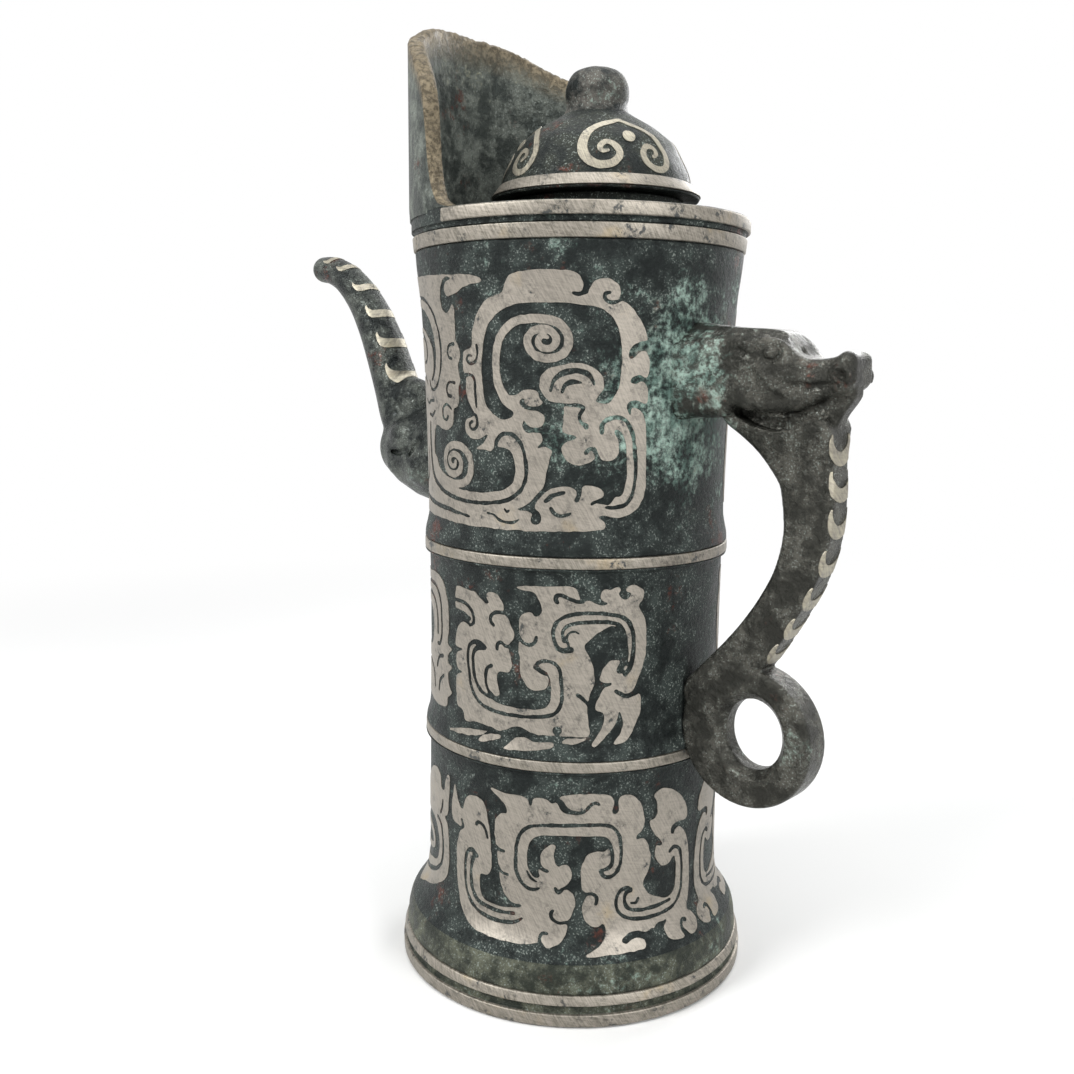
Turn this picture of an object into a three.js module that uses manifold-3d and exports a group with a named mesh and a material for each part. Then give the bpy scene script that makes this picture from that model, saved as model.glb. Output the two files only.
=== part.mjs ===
// Ritual bronze ewer inlaid with silver: a tall tube on a flared foot, with a pouring crest,
// a lifting lid, a dragon-head handle and a curved spout.
// Millimetres, +Z up. The handle points along +X and the spout along -X, and both sides of the
// XZ plane mirror each other.

import * as THREE from 'three';
import { mergeVertices } from 'three/addons/utils/BufferGeometryUtils.js';
import Module from 'manifold-3d';

const wasm = await Module();
wasm.setup();

// Driving dimensions of the vessel, radii measured from its axis and heights from its foot.
const FACETS = 28;
const SEAT_GAP = 0.1;
const TUBE_WALL = 3;
const FOOT_TOP = 17;
const FLARE_TOP = 23.8;
const TUBE_FOOT_R = 45.3;
const TUBE_LOWER_R = 44.1;
const TUBE_MIDDLE_R = 43.5;
const TUBE_UPPER_R = 44.3;
const TUBE_NECK_R = 45.9;
const LOWER_RING_Z = 70;
const UPPER_RING_Z = 126;
const RING_R = 45.1;
const RING_HEIGHT = 8.5;
const RING_BAND_HEIGHT = 3.2;
const SHOULDER_RISE = 38;
const NECK_DROP = 13;
const BAND_DEPTH = 0.8;
const BAND_PROUD = 0.25;

// Mouth rim, with a silver band below a groove and another round the lip.
const RIM_Z = 211;
const RIM_BAND_HEIGHT = 3.9;
const RIM_GROOVE_HEIGHT = 1.4;
const RIM_LIP_HEIGHT = 3.8;
const RIM_R = 48.5;
const RIM_WALL = 4.2;
const LIP_THICKNESS = 0.8;
const PLATE_DEPTH = 6.3;
const PLATE_LEDGE = 1.6;

// Flared foot.
const FOOT_R = 51.8;
const FOOT_RIM = 5.3;
const FOOT_SHOULDER_STEP = 2.2;
const FOOT_SHOULDER_Z = 13.5;
const FOOT_BAND_Z = 0.4;
const FOOT_BAND_HEIGHT = 3.6;
const FOOT_UPPER_BAND_Z = 6.2;
const FOOT_UPPER_BAND_HEIGHT = 2.8;
const BASE_LEDGE_R = 38;
const BASE_LEDGE_HEIGHT = 4.5;
const BASE_R = 42.6;
const BASE_THICKNESS = 3;

// Pouring crest, a tall shield standing on the rim on the spout's side.
const CREST_HEIGHT = 59.6;
const CREST_HALF_ANGLE = 87;
const CREST_FLARE = 0.8;
const CREST_EDGE_ROUND = 1.4;

// Mouth plate with a raised collar, and the lid that stands on it, set off towards the handle.
const LID_OFFSET = 6;
const LID_FACETS = 24;
const PLATE_THICKNESS = 3;
const COLLAR_R = 24.6;
const COLLAR_WALL = 2.6;
const COLLAR_RISE = 5;
const LID_R = 29.4;
const LID_HEIGHT = 24;
const LID_EDGE = 0.8;
const LID_BAND_RISE = 3.4;
const LID_BAND_THICKNESS = 0.6;
const LID_WALL = 2.8;
const FLANGE_DEPTH = 4.5;
const FLANGE_WALL = 1.8;
const FLANGE_CLEARANCE = 0.3;
const LID_LAND_R = 9.8;
const KNOB_R = 9;
const KNOB_HEIGHT = 12.9;
const TENON_R = 3;
const TENON_LENGTH = 2.4;
const TENON_CLEARANCE = 0.2;

// Handle: a dragon's head on a neck, a strap below it and a tail curled into a loop.
const NECK_ROOT_Z = 178.75;
const NECK_HEIGHT = 25.5;
const NECK_WIDTH = 21;
const HEAD_REACH = 91;
const EYE_R = 2.6;
const NOSTRIL_R = 1.9;
const STRAP_WIDTH = 9;
const STRAP_FLAT = 0.62;
const LOOP_X = 63.2;
const LOOP_Z = 80.7;
const LOOP_HOLE_X = 10.1;
const LOOP_HOLE_Z = 12.2;
const LOOP_LIMB = 7;
const LOOP_WIDTH = 9;
const LOOP_HUG = 2.8;

// Spout: a swelling root and a tapering tube with a bore right through.
const SPOUT_SIDES = 10;
const SPOUT_BORE_R = 3.1;
const SPOUT_ROOT_BORE_R = 3.8;
const SPOUT_TIP_R = 4.3;
const SPOUT_ROOT_TUBE_R = 8.6;

// Silver inlay.
const INLAY_THICKNESS = 0.5;
const CRESCENT_R = 4.2;
const CRESCENT_BITE_R = 3.05;
const CRESCENT_BITE_RISE = 1.9;
const CRESCENT_GAP = 0.3;
const PANEL_SEAM_TURN = 48;
const PANEL_RADIUS = 44;

const FACET_ANGLE = (2 * Math.PI) / FACETS;
const LID_FACET_ANGLE = (2 * Math.PI) / LID_FACETS;

// Sizes and heights that follow from the ones above.
const flareR = FOOT_R - FOOT_SHOULDER_STEP;
const footInnerR = FOOT_R - FOOT_RIM;
const waistZ = (LOWER_RING_Z + UPPER_RING_Z) / 2 + 6;
const shoulderZ = UPPER_RING_Z + SHOULDER_RISE;
const neckZ = RIM_Z - NECK_DROP;
const rimBedTop = RIM_Z + RIM_BAND_HEIGHT + 2 * SEAT_GAP;
const lipBedZ = rimBedTop + RIM_GROOVE_HEIGHT;
const rimTop = lipBedZ + RIM_LIP_HEIGHT;
const ledgeZ = rimTop - PLATE_DEPTH;
const collarTop = rimTop + COLLAR_RISE;
const lidBase = collarTop + SEAT_GAP;
const lidTop = lidBase + LID_HEIGHT;

const BRONZE = new THREE.MeshStandardMaterial({ color: 0x33383a, roughness: 0.6, metalness: 0.75 });
const SILVER = new THREE.MeshStandardMaterial({ color: 0xb5ae9d, roughness: 0.38, metalness: 0.95 });

const ewer = new THREE.Group();

// Shared helpers

// An indexed mesh with merged corners, no flat triangles, and its faces pointing out.
function closedMesh(geometry) {
  const plain = geometry.clone();
  for (const name of Object.keys(plain.attributes)) {
    if (name !== 'position') plain.deleteAttribute(name);
  }
  const merged = mergeVertices(plain, 1e-4);
  const corners = merged.attributes.position;
  const kept = [];
  let volume = 0;
  const a = new THREE.Vector3();
  const b = new THREE.Vector3();
  const c = new THREE.Vector3();
  for (let i = 0; i < merged.index.count; i += 3) {
    const [p, q, r] = [0, 1, 2].map((k) => merged.index.getX(i + k));
    if (p === q || q === r || r === p) continue;
    kept.push(p, q, r);
    a.fromBufferAttribute(corners, p);
    b.fromBufferAttribute(corners, q);
    c.fromBufferAttribute(corners, r);
    volume += a.dot(b.cross(c));
  }
  if (volume < 0) kept.reverse();
  merged.setIndex(kept);
  return merged;
}

function solidOf(geometry) {
  const mesh = closedMesh(geometry);
  return new wasm.Manifold(new wasm.Mesh({
    numProp: 3,
    vertProperties: new Float32Array(mesh.attributes.position.array),
    triVerts: new Uint32Array(mesh.index.array),
  }));
}

function geometryOf(solid) {
  const mesh = solid.getMesh();
  const geometry = new THREE.BufferGeometry();
  geometry.setAttribute('position', new THREE.BufferAttribute(new Float32Array(mesh.vertProperties), 3));
  geometry.setIndex(new THREE.BufferAttribute(new Uint32Array(mesh.triVerts), 1));
  return geometry;
}

// Revolves [radius, height] pairs about the vertical axis through x = centre.
function revolve(profile, facets = FACETS, centre = 0) {
  const points = profile.map(([radius, height]) => new THREE.Vector2(radius, height));
  const lathe = new THREE.LatheGeometry(points, facets);
  return lathe.rotateX(Math.PI / 2).translate(centre, 0, 0);
}

function revolveClosed(profile, facets = FACETS, centre = 0) {
  return revolve([...profile, profile[0]], facets, centre);
}

// Skins equal rings of points one after another and closes both ends with a fan.
function loft(rings, endless = false) {
  const count = rings[0].length;
  const positions = rings.flatMap((ring) => ring.flatMap((p) => [p.x, p.y, p.z]));
  const index = [];
  const last = endless ? rings.length : rings.length - 1;
  for (let i = 0; i < last; i += 1) {
    const next = (i + 1) % rings.length;
    for (let j = 0; j < count; j += 1) {
      const k = (j + 1) % count;
      const [a, b, c, d] = [i * count + j, i * count + k, next * count + k, next * count + j];
      index.push(a, b, c, a, c, d);
    }
  }
  if (!endless) {
    for (const [ring, flip] of [[0, true], [rings.length - 1, false]]) {
      const centre = rings[ring].reduce((sum, p) => sum.add(p), new THREE.Vector3()).divideScalar(count);
      const hub = positions.length / 3;
      positions.push(centre.x, centre.y, centre.z);
      for (let j = 0; j < count; j += 1) {
        const pair = [ring * count + j, ring * count + ((j + 1) % count)];
        index.push(hub, ...(flip ? pair.reverse() : pair));
      }
    }
  }
  const geometry = new THREE.BufferGeometry();
  geometry.setAttribute('position', new THREE.Float32BufferAttribute(positions, 3));
  geometry.setIndex(index);
  return geometry;
}

function addPart(name, geometry, material) {
  const mesh = new THREE.Mesh(closedMesh(geometry), material);
  mesh.name = name;
  ewer.add(mesh);
}

function piecewise(table, at) {
  const last = table.length - 1;
  if (at <= table[0][0]) return table[0][1];
  for (let i = 1; i <= last; i += 1) {
    if (at <= table[i][0]) {
      const share = (at - table[i - 1][0]) / (table[i][0] - table[i - 1][0]);
      return THREE.MathUtils.lerp(table[i - 1][1], table[i][1], share);
    }
  }
  return table[last][1];
}

// Vessel profile

const ringBed = RING_R - BAND_DEPTH;
const ringBedEnd = RING_BAND_HEIGHT + SEAT_GAP;

// A raised ring: a sharp underside, a step that its silver band lies in and a soft fall above.
function raisedRing(height, radiusBelow, radiusAbove) {
  return [
    [radiusBelow, height - 1.2],
    [ringBed, height],
    [ringBed, height + ringBedEnd],
    [RING_R, height + ringBedEnd],
    [RING_R - 0.4, height + 0.66 * RING_HEIGHT],
    [radiusAbove, height + RING_HEIGHT],
  ];
}

const rimBedR = RIM_R - LIP_THICKNESS - BAND_DEPTH;
const flareMiddle = [
  THREE.MathUtils.lerp(flareR, TUBE_FOOT_R, 0.6), THREE.MathUtils.lerp(FOOT_TOP, FLARE_TOP, 0.53)];
const flaredEnd = [
  [flareR, FOOT_TOP + SEAT_GAP],
  flareMiddle,
  [TUBE_FOOT_R, FLARE_TOP],
  [TUBE_LOWER_R + 0.4, FLARE_TOP + 4.2],
  [TUBE_LOWER_R, FLARE_TOP + 10.2],
];
const outerProfile = [
  ...flaredEnd,
  ...raisedRing(LOWER_RING_Z, TUBE_LOWER_R - 0.2, TUBE_MIDDLE_R + 0.3),
  [TUBE_MIDDLE_R, waistZ],
  ...raisedRing(UPPER_RING_Z, TUBE_MIDDLE_R + 0.2, TUBE_UPPER_R - 0.4),
  [TUBE_UPPER_R, shoulderZ],
  [TUBE_NECK_R, neckZ],
  [TUBE_NECK_R + 0.7, RIM_Z - 5],
  [rimBedR + 0.5, RIM_Z],
  [rimBedR, RIM_Z],
  [rimBedR + 0.4, rimBedTop],
  [RIM_R - LIP_THICKNESS, rimBedTop],
  [RIM_R - LIP_THICKNESS, lipBedZ],
  [RIM_R, lipBedZ],
  [RIM_R, rimTop],
];
const rimInnerR = RIM_R - RIM_WALL;
const innerProfile = [
  [rimInnerR, rimTop],
  [rimInnerR, ledgeZ],
  [rimInnerR - PLATE_LEDGE, ledgeZ],
  [TUBE_NECK_R - TUBE_WALL, neckZ],
  [TUBE_UPPER_R - TUBE_WALL, shoulderZ],
  [TUBE_MIDDLE_R - TUBE_WALL, waistZ],
  [TUBE_LOWER_R - TUBE_WALL, FLARE_TOP + 10.2],
  [TUBE_LOWER_R - TUBE_WALL, FOOT_TOP + BASE_THICKNESS + 3 * SEAT_GAP],
  [BASE_R + SEAT_GAP, FOOT_TOP + BASE_THICKNESS + 3 * SEAT_GAP],
  [BASE_R + SEAT_GAP, FOOT_TOP + SEAT_GAP],
];

// Outer radius of the vessel at a height, and the same profile with the grooves filled and
// stood off by the seating gap, which trims the handle and the spout to the vessel.
const radiusTable = outerProfile.map(([radius, height]) => [height, radius]);
const trimTable = [
  ...flaredEnd.map(([radius, height]) => [height, radius]),
  [LOWER_RING_Z - 1.2, TUBE_LOWER_R - 0.2],
  [LOWER_RING_Z, RING_R + BAND_PROUD],
  [LOWER_RING_Z + ringBedEnd, RING_R + BAND_PROUD],
  [LOWER_RING_Z + 0.66 * RING_HEIGHT, RING_R - 0.4],
  [LOWER_RING_Z + RING_HEIGHT, TUBE_MIDDLE_R + 0.3],
  [waistZ, TUBE_MIDDLE_R],
  [UPPER_RING_Z - 1.2, TUBE_MIDDLE_R + 0.2],
  [UPPER_RING_Z, RING_R + BAND_PROUD],
  [UPPER_RING_Z + ringBedEnd, RING_R + BAND_PROUD],
  [UPPER_RING_Z + 0.66 * RING_HEIGHT, RING_R - 0.4],
  [UPPER_RING_Z + RING_HEIGHT, TUBE_UPPER_R - 0.4],
  [shoulderZ, TUBE_UPPER_R],
  [neckZ, TUBE_NECK_R],
];
const trimCore = solidOf(revolve([
  [0, FOOT_TOP + SEAT_GAP],
  ...trimTable.map(([height, radius]) => [radius + 3 * SEAT_GAP, height]),
  [0, neckZ],
]));

// Spout path in the XZ plane, as reach from the axis and height, with the tube's radius.
const SPOUT_STATIONS = [
  [60, 149.5, SPOUT_ROOT_TUBE_R],
  [70, 154, SPOUT_ROOT_TUBE_R],
  [76.5, 161, SPOUT_ROOT_TUBE_R - 0.4],
  [81, 171.5, SPOUT_ROOT_TUBE_R - 0.9],
  [85.5, 182, 7.3],
  [91, 192.5, 6.7],
  [98, 202, 6],
  [107, 209.5, 5.2],
  [117, 213, SPOUT_TIP_R + 0.3],
  [124, 213.3, SPOUT_TIP_R],
];

function sweepStations(stations, sides, radiusOf) {
  const spots = stations.map(([reach, height]) => new THREE.Vector2(-reach, height));
  return stations.map((station, i) => {
    const before = spots[Math.max(i - 1, 0)];
    const after = spots[Math.min(i + 1, spots.length - 1)];
    const along = after.clone().sub(before).normalize();
    const normal = new THREE.Vector2(along.y, -along.x);
    const radius = radiusOf(station, i);
    return Array.from({ length: sides }, (_, j) => {
      const angle = (2 * Math.PI * j) / sides;
      const out = radius * Math.cos(angle);
      return new THREE.Vector3(
        spots[i].x + normal.x * out, radius * Math.sin(angle), spots[i].y + normal.y * out);
    });
  });
}

const boreStations = [
  [TUBE_UPPER_R - TUBE_WALL - 6, 148, 0],
  [54, 148, 0],
  ...SPOUT_STATIONS.slice(1),
];
const tip = boreStations[boreStations.length - 1];
boreStations.push([tip[0] + 4, tip[1], 0]);
const spoutBore = solidOf(loft(sweepStations(boreStations, 8, (_, i) =>
  THREE.MathUtils.lerp(SPOUT_ROOT_BORE_R, SPOUT_BORE_R, Math.min(1, i / (boreStations.length - 2))))));

// Body, foot and base

const bodyShell = solidOf(revolveClosed([...outerProfile, ...innerProfile])).subtract(spoutBore);
addPart('body_shell', geometryOf(bodyShell), BRONZE);

const upperBandBed = FOOT_R - 0.9;
addPart('foot_ring', revolveClosed([
  [FOOT_R, 0],
  [FOOT_R, FOOT_BAND_Z + FOOT_BAND_HEIGHT + SEAT_GAP],
  [FOOT_R - 0.3, FOOT_UPPER_BAND_Z - SEAT_GAP],
  [upperBandBed, FOOT_UPPER_BAND_Z - SEAT_GAP],
  [upperBandBed, FOOT_UPPER_BAND_Z + FOOT_UPPER_BAND_HEIGHT + SEAT_GAP],
  [FOOT_R - 0.6, FOOT_UPPER_BAND_Z + FOOT_UPPER_BAND_HEIGHT + SEAT_GAP],
  [FOOT_R - 0.8, FOOT_SHOULDER_Z],
  [flareR, FOOT_TOP],
  [BASE_LEDGE_R, FOOT_TOP],
  [BASE_LEDGE_R, FOOT_TOP - BASE_LEDGE_HEIGHT],
  [footInnerR - 3, 7],
  [footInnerR, 0],
]), BRONZE);

const baseZ = FOOT_TOP + SEAT_GAP;
addPart('base_disc', revolve([
  [0, baseZ], [BASE_R, baseZ], [BASE_R, baseZ + BASE_THICKNESS], [0, baseZ + BASE_THICKNESS],
]), BRONZE);

// Silver bands, each a ring in its own groove.
function addBand(name, innerR, outerR, bottom, top, lean = 0) {
  addPart(name, revolveClosed([
    [innerR, bottom], [outerR, bottom], [outerR + lean, top], [innerR + lean, top],
  ]), SILVER);
}

addBand('foot_band_lower', FOOT_R + SEAT_GAP, FOOT_R + 1, FOOT_BAND_Z, FOOT_BAND_Z + FOOT_BAND_HEIGHT);
addBand('foot_band_upper', upperBandBed + SEAT_GAP, FOOT_R + 0.8,
  FOOT_UPPER_BAND_Z, FOOT_UPPER_BAND_Z + FOOT_UPPER_BAND_HEIGHT);
for (const [name, height] of [['ring_band_lower', LOWER_RING_Z], ['ring_band_upper', UPPER_RING_Z]]) {
  addBand(name, ringBed + SEAT_GAP, RING_R + BAND_PROUD, height, height + RING_BAND_HEIGHT);
}
addBand('rim_band', rimBedR + 2 * SEAT_GAP, rimBedR + 0.5 + BAND_DEPTH,
  RIM_Z + SEAT_GAP, RIM_Z + SEAT_GAP + RIM_BAND_HEIGHT, 0.4);

// The lip band runs round the rim outside the crest, so it is an arc with two ends.
const lipHalfAngle = Math.PI - THREE.MathUtils.degToRad(CREST_HALF_ANGLE - 5);
const lipSteps = 2 * Math.floor(lipHalfAngle / FACET_ANGLE);
const lipRings = Array.from({ length: lipSteps + 1 }, (_, i) => {
  const angle = (i - lipSteps / 2) * FACET_ANGLE;
  return [
    [RIM_R + SEAT_GAP, lipBedZ + SEAT_GAP],
    [RIM_R + LIP_THICKNESS, lipBedZ + SEAT_GAP],
    [RIM_R + LIP_THICKNESS, rimTop - 0.3],
    [RIM_R + SEAT_GAP, rimTop - 0.1],
  ].map(([radius, z]) => new THREE.Vector3(radius * Math.cos(angle), radius * Math.sin(angle), z));
});
addPart('lip_band', loft(lipRings), SILVER);

// Pouring crest: the wall's upper edge falls away on both sides as [share of the half angle,
// share of the crest's height].
const CREST_EDGE = [
  [0, 1], [0.14, 0.996], [0.28, 0.96], [0.38, 0.908], [0.47, 0.866], [0.6, 0.79], [0.7, 0.7],
  [0.78, 0.6], [0.815, 0.48], [0.832, 0.35], [0.85, 0.22], [0.885, 0.115], [0.93, 0.058], [1, 0.022],
];
const crestBase = rimTop + SEAT_GAP;
const crestMirror = CREST_EDGE.slice(1).reverse().map(([share, rise]) => [-share, rise]);
const crestSpots = [...crestMirror, ...CREST_EDGE];
addPart('pouring_crest', loft(crestSpots.map(([share, rise]) => {
  const angle = Math.PI + share * THREE.MathUtils.degToRad(CREST_HALF_ANGLE);
  const height = CREST_HEIGHT * rise;
  const round = Math.min(CREST_EDGE_ROUND, 0.5 * height);
  const outer = RIM_R + CREST_FLARE * rise;
  return [
    [rimInnerR, crestBase],
    [RIM_R, crestBase],
    [outer, crestBase + height - round],
    [outer - 1.2, crestBase + height],
    [rimInnerR + 1.2, crestBase + height],
    [rimInnerR + 0.2 * rise, crestBase + height - round],
  ].map(([radius, z]) => new THREE.Vector3(radius * Math.cos(angle), radius * Math.sin(angle), z));
})), BRONZE);

// Mouth plate, collar, lid and knob

const plateZ = ledgeZ + SEAT_GAP;
const plateTop = plateZ + PLATE_THICKNESS;
const collarInnerR = COLLAR_R - COLLAR_WALL;
const plateDisc = solidOf(revolve([
  [0, plateZ], [rimInnerR - SEAT_GAP, plateZ], [rimInnerR - SEAT_GAP, plateTop], [0, plateTop],
]));
const collar = solidOf(revolve([
  [0, plateTop - 1], [COLLAR_R, plateTop - 1], [COLLAR_R, collarTop], [0, collarTop],
], LID_FACETS, LID_OFFSET));
const mouthHole = solidOf(revolve([
  [0, plateZ - 1], [collarInnerR, plateZ - 1], [collarInnerR, collarTop + 1], [0, collarTop + 1],
], LID_FACETS, LID_OFFSET));
addPart('mouth_plate', geometryOf(plateDisc.add(collar).subtract(mouthHole)), BRONZE);

// Lid dome as [share of the way from the land to the rim, share of the lid's height].
const bandTopZ = lidBase + LID_EDGE + LID_BAND_RISE;
const bandTopR = LID_R - 2.3;
const domeRise = lidTop - bandTopZ;
const domeSpan = bandTopR - LID_LAND_R;
const domeProfile = [[1, 0], [0.9, 0.24], [0.72, 0.51], [0.42, 0.77], [0, 1]]
  .map(([out, up]) => [LID_LAND_R + domeSpan * out, bandTopZ + domeRise * up]);
const flangeR = collarInnerR - FLANGE_CLEARANCE;
const tenonHoleR = TENON_R + TENON_CLEARANCE;
const domeInside = [...domeProfile].reverse().slice(1, 4)
  .map(([radius, z]) => [radius - LID_WALL, z - 0.8 * LID_WALL]);
addPart('lid', revolveClosed([
  [LID_R - 0.2, lidBase],
  [LID_R, lidBase + LID_EDGE],
  ...domeProfile,
  [tenonHoleR, lidTop],
  [tenonHoleR, lidTop - LID_WALL],
  ...domeInside,
  [flangeR - FLANGE_WALL, lidBase + 2.6],
  [flangeR - FLANGE_WALL, lidBase - FLANGE_DEPTH],
  [flangeR, lidBase - FLANGE_DEPTH],
  [flangeR, lidBase],
], LID_FACETS, LID_OFFSET), BRONZE);

addPart('lid_band', revolveClosed([
  [LID_R + SEAT_GAP, lidBase + LID_EDGE],
  [LID_R + LID_BAND_THICKNESS, lidBase + LID_EDGE],
  [bandTopR + LID_BAND_THICKNESS + 0.1, bandTopZ],
  [bandTopR + 1.4 * SEAT_GAP, bandTopZ],
], LID_FACETS, LID_OFFSET), SILVER);

const knobZ = lidTop + SEAT_GAP;
addPart('lid_knob', revolve([
  [0, knobZ - TENON_LENGTH],
  [TENON_R, knobZ - TENON_LENGTH],
  [TENON_R, knobZ],
  [KNOB_R + 0.3, knobZ],
  [KNOB_R - 0.6, knobZ + 0.14 * KNOB_HEIGHT],
  [KNOB_R, knobZ + 0.4 * KNOB_HEIGHT],
  [KNOB_R - 0.5, knobZ + 0.66 * KNOB_HEIGHT],
  [0.77 * KNOB_R, knobZ + 0.87 * KNOB_HEIGHT],
  [0.4 * KNOB_R, knobZ + 0.98 * KNOB_HEIGHT],
  [0, knobZ + KNOB_HEIGHT],
], 16, LID_OFFSET), BRONZE);

// Handle

// Rings across the head from neck to nose: reach, top, bottom and half width.
const neckTop = NECK_ROOT_Z + NECK_HEIGHT / 2;
const neckBottom = NECK_ROOT_Z - NECK_HEIGHT / 2;
const neckHalf = NECK_WIDTH / 2;
const browX = HEAD_REACH - 19.5;
const HEAD_RINGS = [
  [TUBE_UPPER_R - 2.5, neckTop, neckBottom, neckHalf],
  [TUBE_UPPER_R + 6, neckTop - 0.8, neckBottom + 2.6, neckHalf - 0.5],
  [TUBE_UPPER_R + 14, neckTop - 1.7, neckBottom + 2.9, neckHalf - 1],
  [browX - 6, neckTop - 2.5, neckBottom + 1.6, neckHalf - 0.8],
  [browX, neckTop - 3.3, neckBottom + 1, neckHalf - 1.2],
  [browX + 3, neckTop - 7, neckBottom + 1.4, neckHalf - 2.6],
  [browX + 7.5, neckTop - 9.6, neckBottom + 2.4, neckHalf - 4],
  [browX + 13, neckTop - 9.8, neckBottom + 4.4, neckHalf - 5],
  [HEAD_REACH - 2.6, neckTop - 8.5, neckBottom + 6.4, neckHalf - 5.2],
  [HEAD_REACH, neckTop - 10.2, neckBottom + 7.8, neckHalf - 6.4],
];

function headRing([reach, top, bottom, half]) {
  const sides = 12;
  const middle = (top + bottom) / 2;
  const rise = (top - bottom) / 2;
  return Array.from({ length: sides }, (_, j) => {
    const angle = (2 * Math.PI * (j + 0.5)) / sides;
    const across = Math.sign(Math.cos(angle)) * Math.abs(Math.cos(angle)) ** 0.75;
    const up = Math.sign(Math.sin(angle)) * Math.abs(Math.sin(angle)) ** 0.85;
    return new THREE.Vector3(reach, half * across, middle + rise * up);
  });
}

function ballAt(radius, x, y, z, stretch = 1) {
  const ball = new THREE.SphereGeometry(radius, 8, 5);
  return solidOf(ball.scale(stretch, 1, 1).translate(x, y, z));
}

let handle = solidOf(loft(HEAD_RINGS.map(headRing)));
for (const side of [-1, 1]) {
  handle = handle
    .add(ballAt(EYE_R, browX - 1.5, side * (neckHalf - 3.4), neckTop - 7.5, 1.5))
    .add(ballAt(EYE_R, browX - 3, side * (neckHalf - 4.6), neckTop - 4.4, 2.4))
    .add(ballAt(NOSTRIL_R, HEAD_REACH - 2.6, side * (neckHalf - 6.4), neckBottom + 13.5, 1.3));
}

// Strap stations from the head down to the loop: reach, height and depth in the XZ plane.
const STRAP_STATIONS = [
  [70, 171.5, 26],
  [69.6, 165.4, 25],
  [75.2, 156.8, 15.8],
  [78.5, 147, 10.8],
  [78.2, 136.5, 9.9],
  [75.2, 125.8, 9.8],
  [71.2, 117.7, 9.9],
  [66.6, 109.8, 10.1],
  [62.2, 102.8, 10.5],
  [51, 93.2, 10],
];

// An eight-sided section: a flat outer face, chamfers and narrower sides.
function strapRing(centre, normal, depth, width) {
  const flat = STRAP_FLAT * width * 0.5;
  const half = width / 2;
  const chamfer = Math.min(half - flat, 0.3 * depth);
  const outline = [
    [flat, depth / 2], [half, depth / 2 - chamfer], [half, chamfer - depth / 2], [flat, -depth / 2],
    [-flat, -depth / 2], [-half, chamfer - depth / 2], [-half, depth / 2 - chamfer], [-flat, depth / 2],
  ];
  return outline.map(([y, out]) =>
    new THREE.Vector3(centre.x + normal.x * out, y, centre.y + normal.y * out));
}

const levelStations = 3;
const strapSpots = STRAP_STATIONS.map(([x, z]) => new THREE.Vector2(x, z));
const strapRings = STRAP_STATIONS.map(([, , depth], i) => {
  const along = strapSpots[Math.min(i + 1, strapSpots.length - 1)].clone()
    .sub(strapSpots[Math.max(i - 1, 0)]).normalize();
  const normal = i < levelStations ? new THREE.Vector2(1, 0) : new THREE.Vector2(-along.y, along.x);
  return strapRing(strapSpots[i], normal, depth, STRAP_WIDTH);
});

// The loop's hole is an ellipse, and its limb on the body's side is thicker, to reach the body.
const loopSteps = 16;
const loopRings = Array.from({ length: loopSteps }, (_, i) => {
  const angle = (2 * Math.PI * i) / loopSteps;
  const out = new THREE.Vector2(Math.cos(angle), Math.sin(angle));
  const edge = new THREE.Vector2(LOOP_HOLE_X * out.x, LOOP_HOLE_Z * out.y);
  const depth = LOOP_LIMB + LOOP_HUG * Math.max(0, -out.x) ** 2;
  const centre = new THREE.Vector2(LOOP_X, LOOP_Z).add(edge).addScaledVector(out, depth / 2);
  return strapRing(centre, out, depth, LOOP_WIDTH);
});

handle = handle.add(solidOf(loft(strapRings))).add(solidOf(loft(loopRings, true))).subtract(trimCore);
addPart('handle', geometryOf(handle), BRONZE);

// Spout

const tubeRings = sweepStations(SPOUT_STATIONS, SPOUT_SIDES, ([, , radius]) => radius);

// Rings of the swelling root: reach, middle height, half height and half width.
const ROOT_RINGS = [
  [TUBE_UPPER_R - 3, 151, 16, 11.5],
  [TUBE_UPPER_R + 8, 151, 16.5, 12.5],
  [TUBE_UPPER_R + 19, 151, 15, 12.3],
  [TUBE_UPPER_R + 28, 151.4, 12, 11],
  [TUBE_UPPER_R + 35, 152, 8, 8],
  [TUBE_UPPER_R + 39, 152.4, 3.6, 4],
];
const rootRings = ROOT_RINGS.map(([reach, middle, rise, half]) =>
  Array.from({ length: 12 }, (_, j) => {
    const angle = (2 * Math.PI * (j + 0.5)) / 12;
    return new THREE.Vector3(-reach, half * Math.cos(angle), middle + rise * Math.sin(angle));
  }));
const spout = solidOf(loft(tubeRings)).add(solidOf(loft(rootRings)))
  .subtract(trimCore).subtract(spoutBore);
addPart('spout', geometryOf(spout), BRONZE);

// Flat silver plates, cut along the facets' edges and then laid on them

// Cuts solids by the planes where the coordinate `axis` equals one of the cuts.
function slice(solids, axis, cuts) {
  const normal = [0, 1, 2].map((k) => (k === axis ? 1 : 0));
  let pieces = solids;
  for (const cut of cuts) {
    pieces = pieces.flatMap((piece) => {
      const { min, max } = piece.boundingBox();
      return min[axis] < cut && cut < max[axis] ? [...piece.splitByPlane(normal, cut)] : [piece];
    });
  }
  return pieces;
}

function snap(value, cuts) {
  const near = cuts.find((cut) => Math.abs(cut - value) < 1e-3);
  return near === undefined ? value : near;
}

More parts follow.
